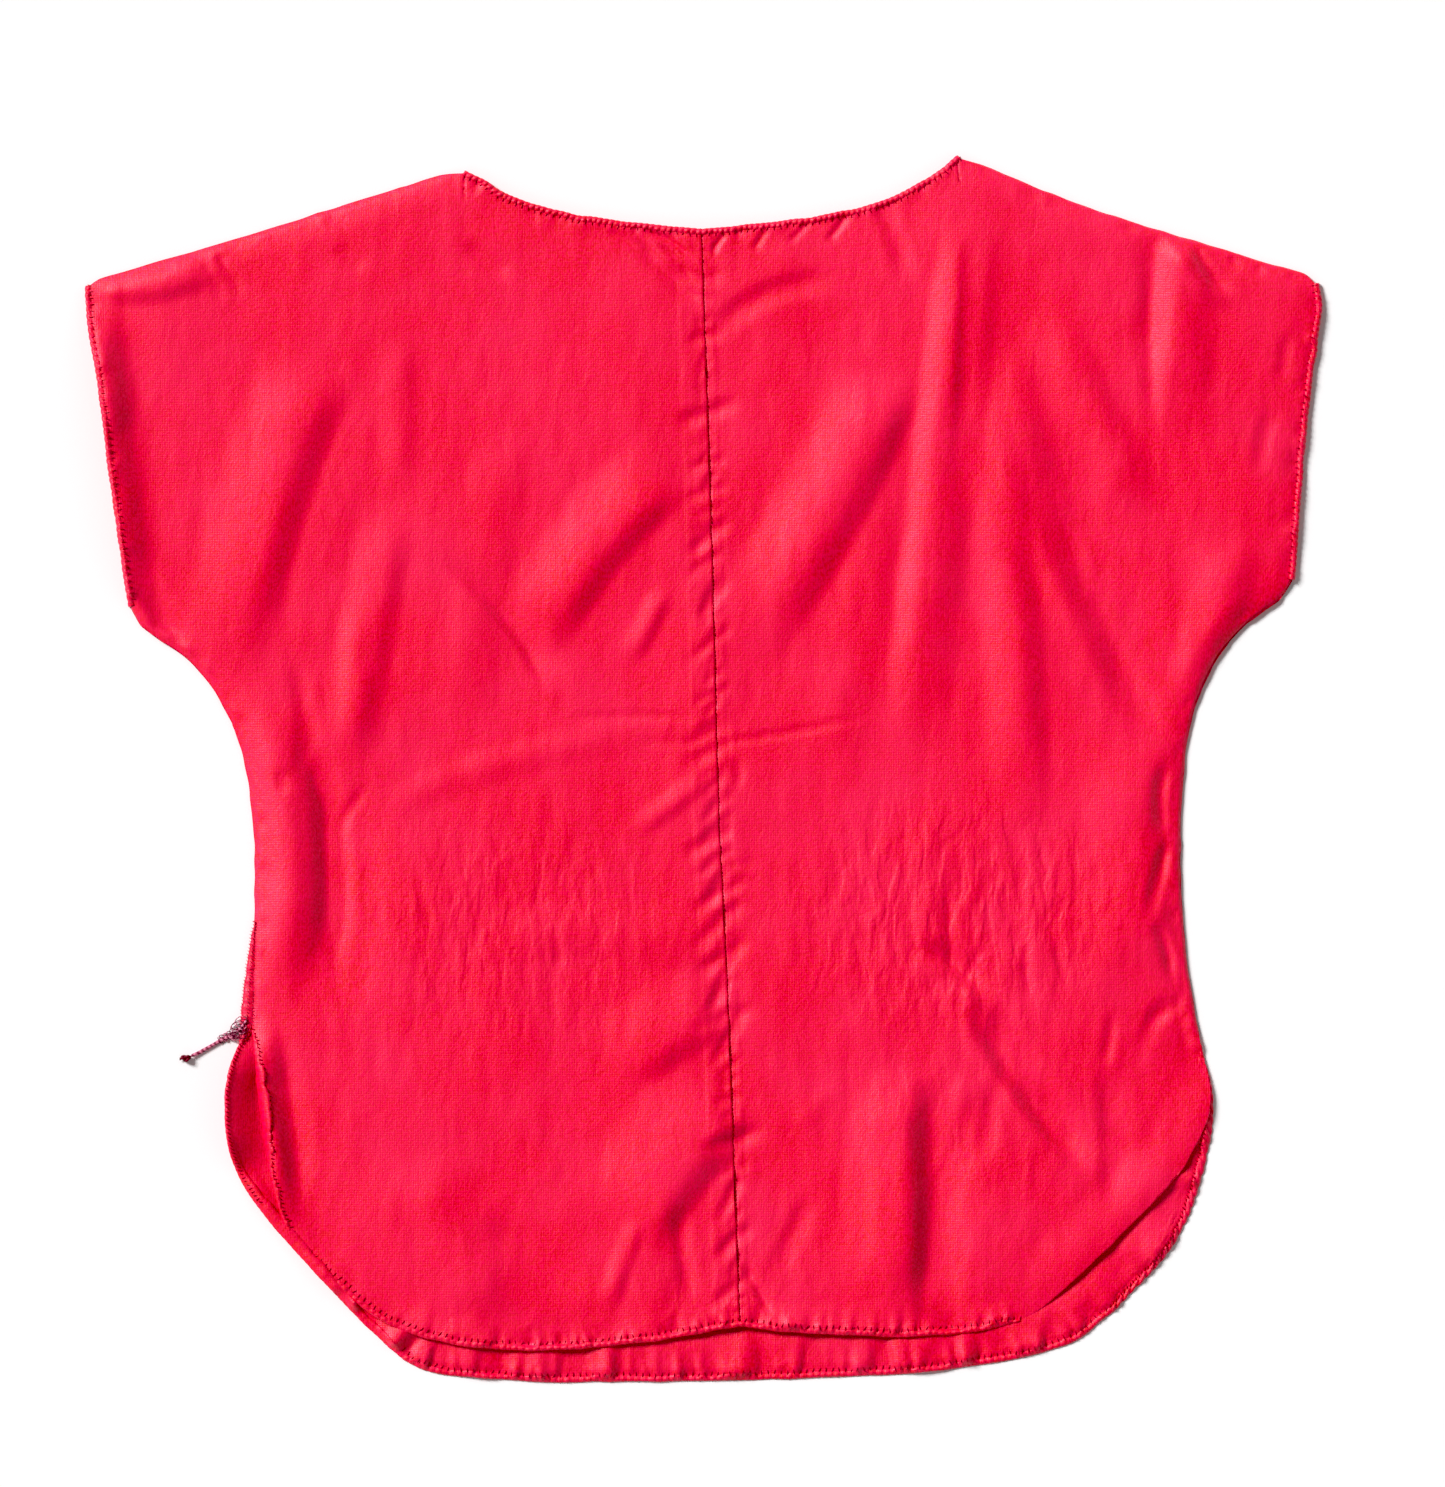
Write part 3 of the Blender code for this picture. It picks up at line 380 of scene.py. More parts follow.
# The overlocked edge outside the left side seam: y, its outer x, its inner x.
SEAM_EDGE = (
    (-80.0, -232.5, -231.9),
    (-92.0, -235.0, -231.6),
    (-104.0, -236.6, -231.6),
    (-116.0, -238.2, -231.8),
    (-127.0, -239.5, -232.0),
    (-133.0, -239.9, -232.8),
    (-138.0, -240.1, -235.2),
    (-143.5, -240.2, -238.8),
)
# The thread tail: where, x, y, height of its middle.
THREAD_TAIL = (
    ("on the seam edge", -236.6, -131.0, 2.55),
    ("over its rim", -240.4, -136.0, 2.35),
    ("down", -244.0, -138.6, 1.3),
    ("on the surface", -249.0, -140.8, 0.64),
    ("bend", -255.5, -144.6, 0.64),
    ("rising", -261.0, -147.6, 0.8),
    ("before the knot", -265.46, -149.63, 1.45),
)


# Small makers

def linear_colour(hex_colour):
    """An sRGB hex colour as linear red, green, blue and alpha."""
    channels = [int(hex_colour[i : i + 2], 16) / 255 for i in (1, 3, 5)]
    return (*(c / 12.92 if c <= 0.04045 else ((c + 0.055) / 1.055) ** 2.4 for c in channels), 1.0)


def add_node(tree, kind, settings=None, inputs=None, links=None):
    """A node with its settings, input values and incoming links, by socket name or number."""
    node = tree.nodes.new(kind)
    for key, value in (settings or {}).items():
        setattr(node, key, value)
    for key, value in (inputs or {}).items():
        node.inputs[key].default_value = value
    for key, source in (links or {}).items():
        tree.links.new(source, node.inputs[key])
    return node


def unit(way):
    """The ways, each made one long."""
    return way / np.linalg.norm(way, axis=1)[:, None]


def to_the_left(way):
    """The ways turned a quarter to the left, which is into the cloth."""
    return np.column_stack((-way[:, 1], way[:, 0]))


def quads(*corners):
    """Four-sided faces, from arrays of the points at their four corners."""
    return np.dstack([corner.ravel() for corner in corners])[0].tolist()


def through(rows):
    """A smooth line through the landmarks of an edge: x, y and hem width at close steps."""
    knots = np.array([row[1:4] for row in rows], float)
    knots = np.vstack((2 * knots[0] - knots[1], knots, 2 * knots[-1] - knots[-2]))
    pieces = []
    for index in range(1, len(knots) - 2):
        k0, k1, k2, k3 = knots[index - 1 : index + 3]
        steps = ((k1 - k0)[:2], (k2 - k1)[:2], (k3 - k2)[:2])
        d1, d2, d3 = (math.sqrt(max(np.hypot(*step), 1e-6)) for step in steps)
        out = (k2 - k1) + d2 * ((k1 - k0) / d1 - (k2 - k0) / (d1 + d2))
        into = (k2 - k1) + d2 * ((k3 - k2) / d3 - (k3 - k1) / (d2 + d3))
        t = np.linspace(0, 1, FINE_STEPS, endpoint=False)[:, None]
        piece = (
            (2 * t**3 - 3 * t**2 + 1) * k1
            + (t**3 - 2 * t**2 + t) * out
            + (3 * t**2 - 2 * t**3) * k2
            + (t**3 - t**2) * into
        )
        piece[:, 2] = (k1 + (k2 - k1) * t)[:, 2]
        pieces.append(piece)
    pieces.append(knots[-2:-1])
    line = np.vstack(pieces)
    run = run_of(line)
    waver = WAVER * np.clip(np.minimum(run, run[-1] - run) / WAVER_FADE, 0, 1)
    waver *= ripple(*line[:, :2].T, WAVER_CELL, WAVER_CELL, WAVER_SEED)
    line[:, :2] += to_the_left(unit(np.gradient(line[:, :2], axis=0))) * waver[:, None]
    return line


def run_of(line):
    """How far each point of a line is from its start."""
    return np.concatenate(([0], np.cumsum(np.hypot(*np.diff(line[:, :2], axis=0).T))))


def places_on(line, at):
    """Points, the way into the cloth, and hem widths at distances along a line."""
    run = run_of(line)
    x, y, hem = (np.interp(at, run, line[:, column]) for column in range(3))
    ahead, behind = (
        np.column_stack([np.interp(at + step, run, line[:, column]) for column in range(2)])
        for step in (WAY_STEP, -WAY_STEP)
    )
    return np.column_stack((x, y)), to_the_left(unit(ahead - behind)), hem


class Edge:
    """One or more edges of a panel, end to end; each takes its share of the edge."""

    def __init__(self, *parts):
        self.lines = [through(rows) for rows, _ in parts]
        weights = np.array([weight for _, weight in parts], float)
        self.starts = np.concatenate(([0], np.cumsum(weights / weights.sum())))

    def cloth_at(self, shares):
        """Where the flat cloth ends, at shares of the edge: under the middle of its hem."""
        points = np.zeros((len(shares), 2))
        for index, line in enumerate(self.lines):
            start, end = self.starts[index], self.starts[index + 1]
            here = (shares >= start - 1e-9) & (shares <= end + 1e-9)
            local = np.clip((shares[here] - start) / (end - start), 0, 1)
            found, inward, hem = places_on(line, local * run_of(line)[-1])
            points[here] = found + inward * (hem * 0.5)[:, None]
        return points


def nearest_on(line, x, y, marks=None):
    """How far each point is from a line, the mark on the line there, and the side it is on. The marks
    are distances along the line unless others are given. The side is above nought on its left."""
    marks = run_of(line) if marks is None else marks
    nearest = np.full(x.shape, np.inf)
    along, side = np.zeros(x.shape), np.zeros(x.shape)
    for (ax, ay), (bx, by), mark, following in zip(line[:-1, :2], line[1:, :2], marks[:-1], marks[1:]):
        dx, dy = bx - ax, by - ay
        share = np.clip(((x - ax) * dx + (y - ay) * dy) / (dx * dx + dy * dy), 0, 1)
        away = np.hypot(x - ax - share * dx, y - ay - share * dy)
        closer = away < nearest
        nearest = np.where(closer, away, nearest)
        along = np.where(closer, mark + share * (following - mark), along)
        side = np.where(closer, dx * (y - ay) - dy * (x - ax), side)
    return nearest, along, side


def fold_height(rows, x, y):
    """Sum of soft ridges and troughs at the points x, y."""
    total = np.zeros(x.shape)
    t = np.linspace(0, 1, FOLD_STEPS + 1)[:, None]
    for row in rows:
        start, middle, end = (np.array(row[i : i + 2], float) for i in (1, 3, 5))
        first_width, second_width, height = row[7:10]
        bend = 2 * middle - (start + end) / 2
        crest = (1 - t) ** 2 * start + 2 * t * (1 - t) * bend + t**2 * end
        near = in_reach(crest, max(first_width, second_width), x, y)
        if not near.any():
            continue
        nearest, along, side = nearest_on(crest, x[near], y[near], np.arange(FOLD_STEPS + 1))
        along = along / FOLD_STEPS
        across = np.where(side > 0, nearest / second_width, nearest / first_width)
        ends = smooth_step(0, FOLD_FADE, np.minimum(along, 1 - along))
        total[near] += height * ends * np.clip(1 - across**2, 0, None) ** 2
    return total


def in_reach(line, reach, x, y):
    """Which points can be within a reach of the line."""
    low, high = line[:, :2].min(0) - reach, line[:, :2].max(0) + reach
    return (x > low[0]) & (x < high[0]) & (y > low[1]) & (y < high[1])


def ripple(x, y, cell_x, cell_y, seed):
    """Smooth unevenness from -1 to 1, in cells of that size."""
    table = np.random.default_rng(seed).uniform(-1, 1, (97, 97))
    gx, gy = x / cell_x + 500, y / cell_y + 500
    i, j = np.floor(gx).astype(int), np.floor(gy).astype(int)
    fx, fy = gx - i, gy - j
    fx, fy = fx**3 * (10 - 15 * fx + 6 * fx * fx), fy**3 * (10 - 15 * fy + 6 * fy * fy)
    i, j = i % 96, j % 96
    top = table[i, j] * (1 - fx) + table[i + 1, j] * fx
    bottom = table[i, j + 1] * (1 - fx) + table[i + 1, j + 1] * fx
    return top * (1 - fy) + bottom * fy


def ripple_along(at, cell, seed):
    """The same unevenness along a line."""
    return ripple(at, 0 * at, cell, 1.0, seed)


def smooth_step(low, high, value):
    """Nought up to the low value and one from the high one, with a smooth rise between."""
    share = np.clip((value - low) / (high - low), 0, 1)
    return share * share * (3 - 2 * share)


def lines_of(*edges):
    """The edges as plain lines, for distances from them."""
    return [through(rows)[::2] for rows in edges]


SEAMS = lines_of(LEFT_SHOULDER, LEFT_SIDE, RIGHT_SIDE, RIGHT_SHOULDER)
HEMS = lines_of(
    LEFT_SLEEVE, LEFT_FRONT_TAIL, LEFT_FRONT_HEM, RIGHT_FRONT_HEM, RIGHT_SLEEVE, RIGHT_NECK, LEFT_NECK
)
SEAM_LINE = through(CENTRE_SEAM)


def distance_to(lines, x, y):
    """How far each point is from the nearest of the lines."""
    return np.min([nearest_on(line, x, y)[0] for line in lines], axis=0)


def away_from(distance, width):
    """Nought on a line, rising smoothly to one at a width from it."""
    return 1 - (1 - np.minimum(distance / width, 1)) ** 2


# The camera, then objects and meshes in the scene

def put_object(name, data):
    """An object of that name in the scene."""
    made = bpy.data.objects.new(name, data)
    bpy.context.scene.collection.objects.link(made)
    return made


def look_down():
    """The camera, straight above the top."""
    data = bpy.data.cameras.new("camera_over_the_top")
    data.sensor_fit = "VERTICAL"
    data.sensor_height = SENSOR
    data.lens = SENSOR * CAMERA_HEIGHT / (PHOTO_HEIGHT * MM_PER_PIXEL * MM)
    data.clip_end = 20.0
    camera = put_object("camera_over_the_top", data)
    camera.location = (CAMERA_OVER[0] * MM, CAMERA_OVER[1] * MM, CAMERA_HEIGHT)
    bpy.context.scene.camera = camera


def put_mesh(name, points, faces, material):
    """An object from points in millimetres and faces, shaded smooth."""
    mesh = bpy.data.meshes.new(name)
    mesh.from_pydata([tuple(p) for p in np.asarray(points, float) * MM], [], faces)
    mesh.materials.append(material)
    mesh.shade_smooth()
    return put_object(name, mesh)


def plain(made):
    """The object's modifiers worked into its mesh."""
    graph = bpy.context.evaluated_depsgraph_get()
    mesh = bpy.data.meshes.new_from_object(made.evaluated_get(graph), depsgraph=graph)
    made.modifiers.clear()
    made.data = mesh
    return made


def outwards(made):
    """Normals of a closed mesh turned outwards, after its doubles are merged."""
    shape = bmesh.new()
    shape.from_mesh(made.data)
    bmesh.ops.remove_doubles(shape, verts=shape.verts, dist=1e-7)
    bmesh.ops.recalc_face_normals(shape, faces=shape.faces)
    shape.to_mesh(made.data)
    shape.free()
    made.data.shade_smooth()
    return made


def join(name, pieces):
    """Several meshes as one piece."""
    shape = bmesh.new()
    for piece in pieces:
        shape.from_mesh(piece.data)
    mesh = bpy.data.meshes.new(name)
    shape.to_mesh(mesh)
    shape.free()
    for material in pieces[0].data.materials:
        mesh.materials.append(material)
    for piece in pieces:
        bpy.data.objects.remove(piece)
    mesh.shade_smooth()
    return put_object(name, mesh)


# Materials

CLOTH_IOR = 1.5
CLOTH_ROUGHNESS = 0.46
CLOTH_SHEEN = 0.03
THREAD_SHEEN = 0.02
SPECULAR_LEVEL = 0.42
THREAD_SPECULAR = 0.15
SHEEN_ROUGHNESS = 0.35
CORAL = "#fe0a4c"
CORAL_SLUB = "#ec0020"
CORAL_PALE = "#ff265e"
SHEEN_TINT = "#ff4068"
# The hem thread's dark red is partly its own colour and partly painted shade: darker than the thread, it
# stands in for the shadow in the dimple at each hem stitch.
HEM_TWIST_DARK_AND_PAINTED_SHADE = "#8a000e"
HEM_THREAD_AND_PAINTED_SHADE = "#9c001e"
SEAM_RED = "#b4001e"
SEAM_RED_DARK = "#7a0010"
# The chain's pale pink is partly painted highlight: it stands for the light on the maroon overlock threads.
CHAIN_PALE_PAINTED_HIGHLIGHT = "#ea8fac"
CHAIN_DARK = "#7a1238"
LOOPER_MAROON = "#8e1a44"
LOOPER_DARK = "#4e0a24"
OVERLOCK_ROSE = "#e0476b"
OVERLOCK_DARK = "#8e1434"
KNOT_RED = "#8a1230"
KNOT_DARK = "#4a0613"
FLOOR_WHITE = "#fdfdfd"
CLOUD_SCALE = 16.0
PALEST = 0.45
SLUB_ROUGHNESS = 0.52
PLAIN_ROUGHNESS = 0.42
WEAVE_PITCH = 0.9
WEAVE_DEPTH = 0.15
WEAVE_STRENGTH = 0.6
TWIST_DEPTH = 0.08
TWIST_STRENGTH = 0.4
SLUB_WIDTH = 1.1
SLUB_LENGTH = 1.6
SLUB_DEPTH_SCALE = 200.0
SLUB_RELIEF = 2.2
CRINKLE_WIDTH = 6.5
CRINKLE_LENGTH = 14.0
CRINKLE_DEPTH = 0.3
CRINKLE_DEPTH_SCALE = 60.0
CRUMPLE_WIDTH = 8.0
CRUMPLE_LENGTH = 22.0
CRUMPLE_DEPTH = 0.5
CRUMPLE_ELSEWHERE = 0.05
# The share of a crushed place that is crushed in full.
CRUSHED_CORE = 0.35
# Where the cloth is crushed: x, y, half width, half height, strength.
CRUSHED_PLACES = (
    (134.0, -78.0, 110.0, 84.0, 1.0),
    (-96.0, -84.0, 100.0, 80.0, 0.7),
    (150.0, -180.0, 90.0, 80.0, 0.4),
    (220.0, 180.0, 100.0, 100.0, 0.2),
    (14.0, -262.0, 80.0, 50.0, 0.4),
)


def base_material(name, colour, roughness, sheen=0.0, specular=SPECULAR_LEVEL):
    """A plain material, its node tree and its shader."""
    made = bpy.data.materials.new(name)
    made.use_nodes = True
    shader = made.node_tree.nodes["Principled BSDF"]
    for socket, value in (
        ("Base Color", linear_colour(colour)),
        ("Roughness", roughness),
        ("Metallic", 0.0),
        ("IOR", CLOTH_IOR),
        ("Specular IOR Level", specular),
        ("Sheen Weight", sheen),
        ("Sheen Roughness", SHEEN_ROUGHNESS),
        ("Sheen Tint", linear_colour(SHEEN_TINT)),
    ):
        shader.inputs[socket].default_value = value
    return made, made.node_tree, shader


def cells_of(width, length, depth_scale):
    """The scale of a mapping that counts cells of a width and a length in millimetres."""
    return 1 / (width * MM), 1 / (length * MM), depth_scale


def bands_at(pitch):
    """The scale of a wave texture whose bands are at a pitch in millimetres."""
    return 1 / (pitch * MM) / 20 * 2 * math.pi


def crumpled(tree, place):
    """Height of the finest crumples: short soft streaks, mostly along the warp, where the cloth is
    crushed at the waist, and faint ones elsewhere. They are too narrow for the mesh."""
    streak_place = add_node(
        tree,
        "ShaderNodeMapping",
        {"vector_type": "POINT"},
        {"Scale": cells_of(CRUMPLE_WIDTH, CRUMPLE_LENGTH, 1.0)},
        {"Vector": place},
    )
    streaks = add_node(
        tree,
        "ShaderNodeTexNoise",
        inputs={"Scale": 1.0, "Detail": 2.0, "Roughness": 0.45, "Distortion": 0.25},
        links={"Vector": streak_place.outputs[0]},
    )
    slope = add_node(
        tree,
        "ShaderNodeMapRange",
        {"interpolation_type": "SMOOTHSTEP"},
        {"From Min": 0.34, "From Max": 0.64, "To Min": 0.0, "To Max": 1.0},
        {"Value": streaks.outputs["Fac"]},
    )
    amount = None
    for x, y, half_width, half_height, strength in CRUSHED_PLACES:
        spot = add_node(
            tree,
            "ShaderNodeMapping",
            {"vector_type": "TEXTURE"},
            {"Location": (x * MM, y * MM, 0.0), "Scale": (half_width * MM, half_height * MM, 1.0)},
            {"Vector": place},
        )
        distance = add_node(
            tree, "ShaderNodeVectorMath", {"operation": "LENGTH"}, links={0: spot.outputs[0]}
        )
        share = add_node(
            tree,
            "ShaderNodeMapRange",
            {"interpolation_type": "SMOOTHSTEP"},
            {"From Min": CRUSHED_CORE, "From Max": 1.0, "To Min": strength, "To Max": CRUMPLE_ELSEWHERE},
            {"Value": distance.outputs["Value"]},
        )
        amount = share if amount is None else add_node(
            tree,
            "ShaderNodeMath",
            {"operation": "MAXIMUM"},
            links={0: amount.outputs[0], 1: share.outputs[0]},
        )
    return add_node(
        tree, "ShaderNodeMath", {"operation": "MULTIPLY"}, links={0: slope.outputs[0], 1: amount.outputs[0]}
    ).outputs[0]


def woven_coral():
    """Plain weave viscose, piece-dyed: flat matt coral, with short darker slubs along the warp and a
    faint cross grain. The real threads are 0.25 mm; the weave is drawn at 0.9 mm so that it shows."""
    made, tree, shader = base_material("plain_weave_viscose_coral", CORAL, CLOTH_ROUGHNESS, CLOTH_SHEEN)
    place = add_node(tree, "ShaderNodeTexCoord").outputs["Object"]
    slub_place = add_node(
        tree,
        "ShaderNodeMapping",
        inputs={"Scale": cells_of(SLUB_WIDTH, SLUB_LENGTH, SLUB_DEPTH_SCALE)},
        links={"Vector": place},
    )
    slub = add_node(
        tree,
        "ShaderNodeTexNoise",
        inputs={"Scale": 1.0, "Detail": 2.0, "Roughness": 0.55},
        links={"Vector": slub_place.outputs[0]},
    )
    cloud = add_node(
        tree,
        "ShaderNodeTexNoise",
        inputs={"Scale": CLOUD_SCALE, "Detail": 3.0, "Roughness": 0.6},
        links={"Vector": place},
    )
    slub_share = add_node(
        tree,
        "ShaderNodeMapRange",
        inputs={"From Min": 0.4, "From Max": 0.58, "To Min": 0.0, "To Max": 1.0},
        links={"Value": slub.outputs["Fac"]},
    )
    grain = add_node(
        tree,
        "ShaderNodeMix",
        {"data_type": "RGBA"},
        {6: linear_colour(CORAL_SLUB), 7: linear_colour(CORAL)},
        {0: slub_share.outputs[0]},
    )
    cloud_share = add_node(
        tree,
        "ShaderNodeMapRange",
        inputs={"From Min": 0.4, "From Max": 0.7, "To Min": 0.0, "To Max": PALEST},
        links={"Value": cloud.outputs["Fac"]},
    )
    colour = add_node(
        tree,
        "ShaderNodeMix",
        {"data_type": "RGBA"},
        {7: linear_colour(CORAL_PALE)},
        {0: cloud_share.outputs[0], 6: grain.outputs[2]},
    )
    tree.links.new(colour.outputs[2], shader.inputs["Base Color"])
    warp, weft = (
        add_node(
            tree,
            "ShaderNodeTexWave",
            {"wave_type": "BANDS", "bands_direction": direction},
            {"Scale": bands_at(WEAVE_PITCH), "Distortion": 1.2, "Detail": 1.0},
            {"Vector": place},
        )
        for direction in ("X", "Y")
    )
    weave = add_node(
        tree,
        "ShaderNodeMath",
        {"operation": "MULTIPLY"},
        links={0: warp.outputs["Fac"], 1: weft.outputs["Fac"]},
    )
    rough_ground = add_node(
        tree,
        "ShaderNodeMath",
        {"operation": "MULTIPLY_ADD"},
        {1: SLUB_RELIEF},
        {0: slub.outputs["Fac"], 2: weave.outputs[0]},
    )
    crinkle_place = add_node(
        tree,
        "ShaderNodeMapping",
        inputs={"Scale": cells_of(CRINKLE_WIDTH, CRINKLE_LENGTH, CRINKLE_DEPTH_SCALE)},
        links={"Vector": place},
    )
    crinkle = add_node(
        tree,
        "ShaderNodeTexNoise",
        inputs={"Scale": 1.0, "Detail": 2.5, "Roughness": 0.5, "Distortion": 0.6},
        links={"Vector": crinkle_place.outputs[0]},
    )
    crinkle_bump = add_node(
        tree,
        "ShaderNodeBump",
        inputs={"Strength": 1.0, "Distance": CRINKLE_DEPTH * MM},
        links={"Height": crinkle.outputs["Fac"]},
    )
    crumple_bump = add_node(
        tree,
        "ShaderNodeBump",
        inputs={"Strength": 1.0, "Distance": CRUMPLE_DEPTH * MM},
        links={"Height": crumpled(tree, place), "Normal": crinkle_bump.outputs[0]},
    )
    bump = add_node(
        tree,
        "ShaderNodeBump",
        inputs={"Strength": WEAVE_STRENGTH, "Distance": WEAVE_DEPTH * MM},
        links={"Height": rough_ground.outputs[0], "Normal": crumple_bump.outputs[0]},
    )
    tree.links.new(bump.outputs[0], shader.inputs["Normal"])
    roughness = add_node(
        tree,
        "ShaderNodeMapRange",
        inputs={"From Min": 0.3, "From Max": 0.7, "To Min": SLUB_ROUGHNESS, "To Max": PLAIN_ROUGHNESS},
        links={"Value": slub.outputs["Fac"]},
    )
    tree.links.new(roughness.outputs[0], shader.inputs["Roughness"])
    return made


def spun_thread(name, colour, dark, roughness, pitch):
    """Spun polyester sewing thread: matt, with a fine twist that runs dark and light."""
    made, tree, shader = base_material(name, colour, roughness, THREAD_SHEEN, THREAD_SPECULAR)
    place = add_node(tree, "ShaderNodeTexCoord").outputs["Object"]
    twist = add_node(
        tree,
        "ShaderNodeTexWave",
        {"wave_type": "BANDS", "bands_direction": "DIAGONAL"},
        {"Scale": bands_at(pitch), "Distortion": 2.0, "Detail": 2.0},
        {"Vector": place},
    )
    shade = add_node(
        tree,
        "ShaderNodeMix",
        {"data_type": "RGBA"},
        {6: linear_colour(dark), 7: linear_colour(colour)},
        {0: twist.outputs["Fac"]},
    )
    tree.links.new(shade.outputs[2], shader.inputs["Base Color"])
    bump = add_node(
        tree,
        "ShaderNodeBump",
        inputs={"Strength": TWIST_STRENGTH, "Distance": TWIST_DEPTH * MM},
        links={"Height": twist.outputs["Fac"]},
    )
    tree.links.new(bump.outputs[0], shader.inputs["Normal"])
    return made


def painted_floor():
    """Matt white painted board: even and pale, with no gloss."""
    return base_material("matt_white_board", FLOOR_WHITE, 0.9)[0]


# Heights of the cloth

# Tucks across the centre seam: how far they stay from its two ends, and where they no longer run up.
# Then the least and most of each measure, and what a large tuck has more.
TUCKS_FROM, TUCKS_TO = 12.0, 8.0
TUCKS_TURN_OVER = 64.0
TUCK_SIZE = (0.1, 1.0)
TUCK_SLANT = (12, 62)
TUCK_LEFT, TUCK_LEFT_MORE = (4, 10), 24
TUCK_RIGHT, TUCK_RIGHT_MORE = (2, 6), 18
TUCK_WIDTH, TUCK_WIDTH_MORE = 1.8, 3.4
TUCK_DEPTH, TUCK_DEPTH_MORE = 0.35, 1.3
TUCK_BEND = (-3.0, 2.0)
TUCK_SPACING, TUCK_SPACING_MORE = (3.0, 8.0), 5.0


def seam_puckers():
    """Short slanting tucks across the centre seam, uneven in length, depth and spacing. Their left
    ends run down, and up near the neck."""
    draw = np.random.default_rng(SEED)
    length = run_of(SEAM_LINE)[-1]
    rows = []
    at = TUCKS_FROM
    while at < length - TUCKS_TO:
        (x, y), = places_on(SEAM_LINE, np.array([at]))[0]
        size = draw.uniform(*TUCK_SIZE) ** 1.5
        slant = math.radians(draw.uniform(*TUCK_SLANT))
        left = draw.uniform(*TUCK_LEFT) + TUCK_LEFT_MORE * size * draw.uniform(0.2, 1.0)
        right = draw.uniform(*TUCK_RIGHT) + TUCK_RIGHT_MORE * size * draw.uniform(0.0, 1.0)
        width = TUCK_WIDTH + TUCK_WIDTH_MORE * size
        depth = -(TUCK_DEPTH + TUCK_DEPTH_MORE * size * draw.uniform(0.5, 1.0))
        step = np.array((math.cos(slant), math.sin(slant)))
        start, end = np.array((x, y)) + step * right, np.array((x, y)) - step * left
        bend = y + draw.uniform(*TUCK_BEND) * size
        if at < TUCKS_TURN_OVER:
            end[1] = 2 * y - end[1]
        rows.append(("tuck", *start, x - 2 * size, bend, *end, width, width * draw.uniform(1.0, 1.7), depth))
        at += draw.uniform(*TUCK_SPACING) + TUCK_SPACING_MORE * size
    return rows


SEAM_PUCKERS = seam_puckers()


def hem_puckers(x, y, lines, reach, pitch, depth, seed, calm=6.0):
    """Small gathers that start inside a hem, and fade inside a short reach and a calm start of it."""
    total = np.zeros(x.shape)
    for index, line in enumerate(lines):
        near = in_reach(line, reach, x, y)
        if not near.any():
            continue
        away, along, _ = nearest_on(line, x[near], y[near])
        long_reach = reach * (0.75 + 0.35 * ripple_along(along, pitch * 1.7, seed + index + 40))
        share = np.clip(1 - away / long_reach, 0, 1)
        wave = ripple_along(along, pitch, seed + index)
        wave += 0.6 * ripple_along(along, pitch * 0.45, seed + index + 20) * share
        ends = np.clip(np.minimum(along / (6 if index else calm), (run_of(line)[-1] - along) / 6), 0, 1) ** 2
        total[near] += depth * wave * share * smooth_step(0.8, 4.2, away) * ends
    return total


FRONT_HEM_LINES = lines_of(LEFT_FRONT_HEM, RIGHT_FRONT_HEM)
TURNED_LINES = lines_of(RIGHT_TURNED_CORNER, RIGHT_TURNED_SIDE)
NECK_LINES = lines_of(RIGHT_NECK, LEFT_NECK)
SLEEVE_LINES = lines_of(LEFT_SLEEVE, RIGHT_SLEEVE)
BACK_HEM_LINES = lines_of(BACK_HEM, RIGHT_BACK_TAIL)
SIDE_LINES = lines_of(LEFT_SIDE, RIGHT_SIDE, LEFT_SHOULDER, RIGHT_SHOULDER)

# Gathers: the lines they start from, how far they reach, their pitch, depth, seed and calm start.
BACK_PILLOWS = (BACK_HEM_LINES, 30.0, 9.0, 3.2, 300)
BACK_PUCKERS = (BACK_HEM_LINES, 9.0, 3.4, 1.3, 340)
SIDE_PUCKERS = (SIDE_LINES, 9.0, 6.5, 1.1, 200)
FRONT_PUCKERS = (
    (FRONT_HEM_LINES, 9.0, 3.6, 1.8, 100, 60.0),
    (FRONT_HEM_LINES, 20.0, 9.0, 1.9, 110, 110.0),
    (NECK_LINES, 8.0, 3.4, 1.2, 120),
    (NECK_LINES, 14.0, 8.0, 0.8, 130),
    (SLEEVE_LINES, 10.0, 6.0, 1.3, 140),
)
# Where the front is finely crinkled: x, y, half width, half height.
CRINKLED_PLACES = ((-112, -86, 75, 52), (122, -140, 60, 60))
# Its fine streaks: height, lean, cell x, cell y, seed. Then the cloth's unevenness: height, cells, seed.
CRINKLES = (0.34, 0.25, 5.2, 24.0, 160)
FRONT_UNEVEN = ((0.16, 6.5, 19.0, 170), (0.55, 34.0, 60.0, 180))
BACK_UNEVEN = (0.12, 9.0, 26.0, 310)
# Soft banks along the front's edges: the lines, width, height.
FRONT_BANKS = ((FRONT_HEM_LINES, 19, 1.1), (TURNED_LINES, 55, -2.3), (SLEEVE_LINES[1:], 12, -0.8))
# The back's tail is rounded and gathered from here down, to this height.
SLIT_TOPS = -150.0
TAIL_ROUND = 1.3


def back_low(x, y):
    """Height of the back's underside."""
    return np.maximum(fold_height(BACK_FOLDS, x, y), 0)


def hollow(x, y, seam_distance):
    """Height of the air between the back and the front."""
    loft = HEM_LOFT + (LOFT - HEM_LOFT) * away_from(distance_to(HEMS, x, y), LOFT_WIDTH)
    raw = loft + fold_height(FRONT_FOLDS, x, y)
    return away_from(seam_distance, ROLL_WIDTH) * (raw + np.sqrt(raw * raw + 1)) / 2


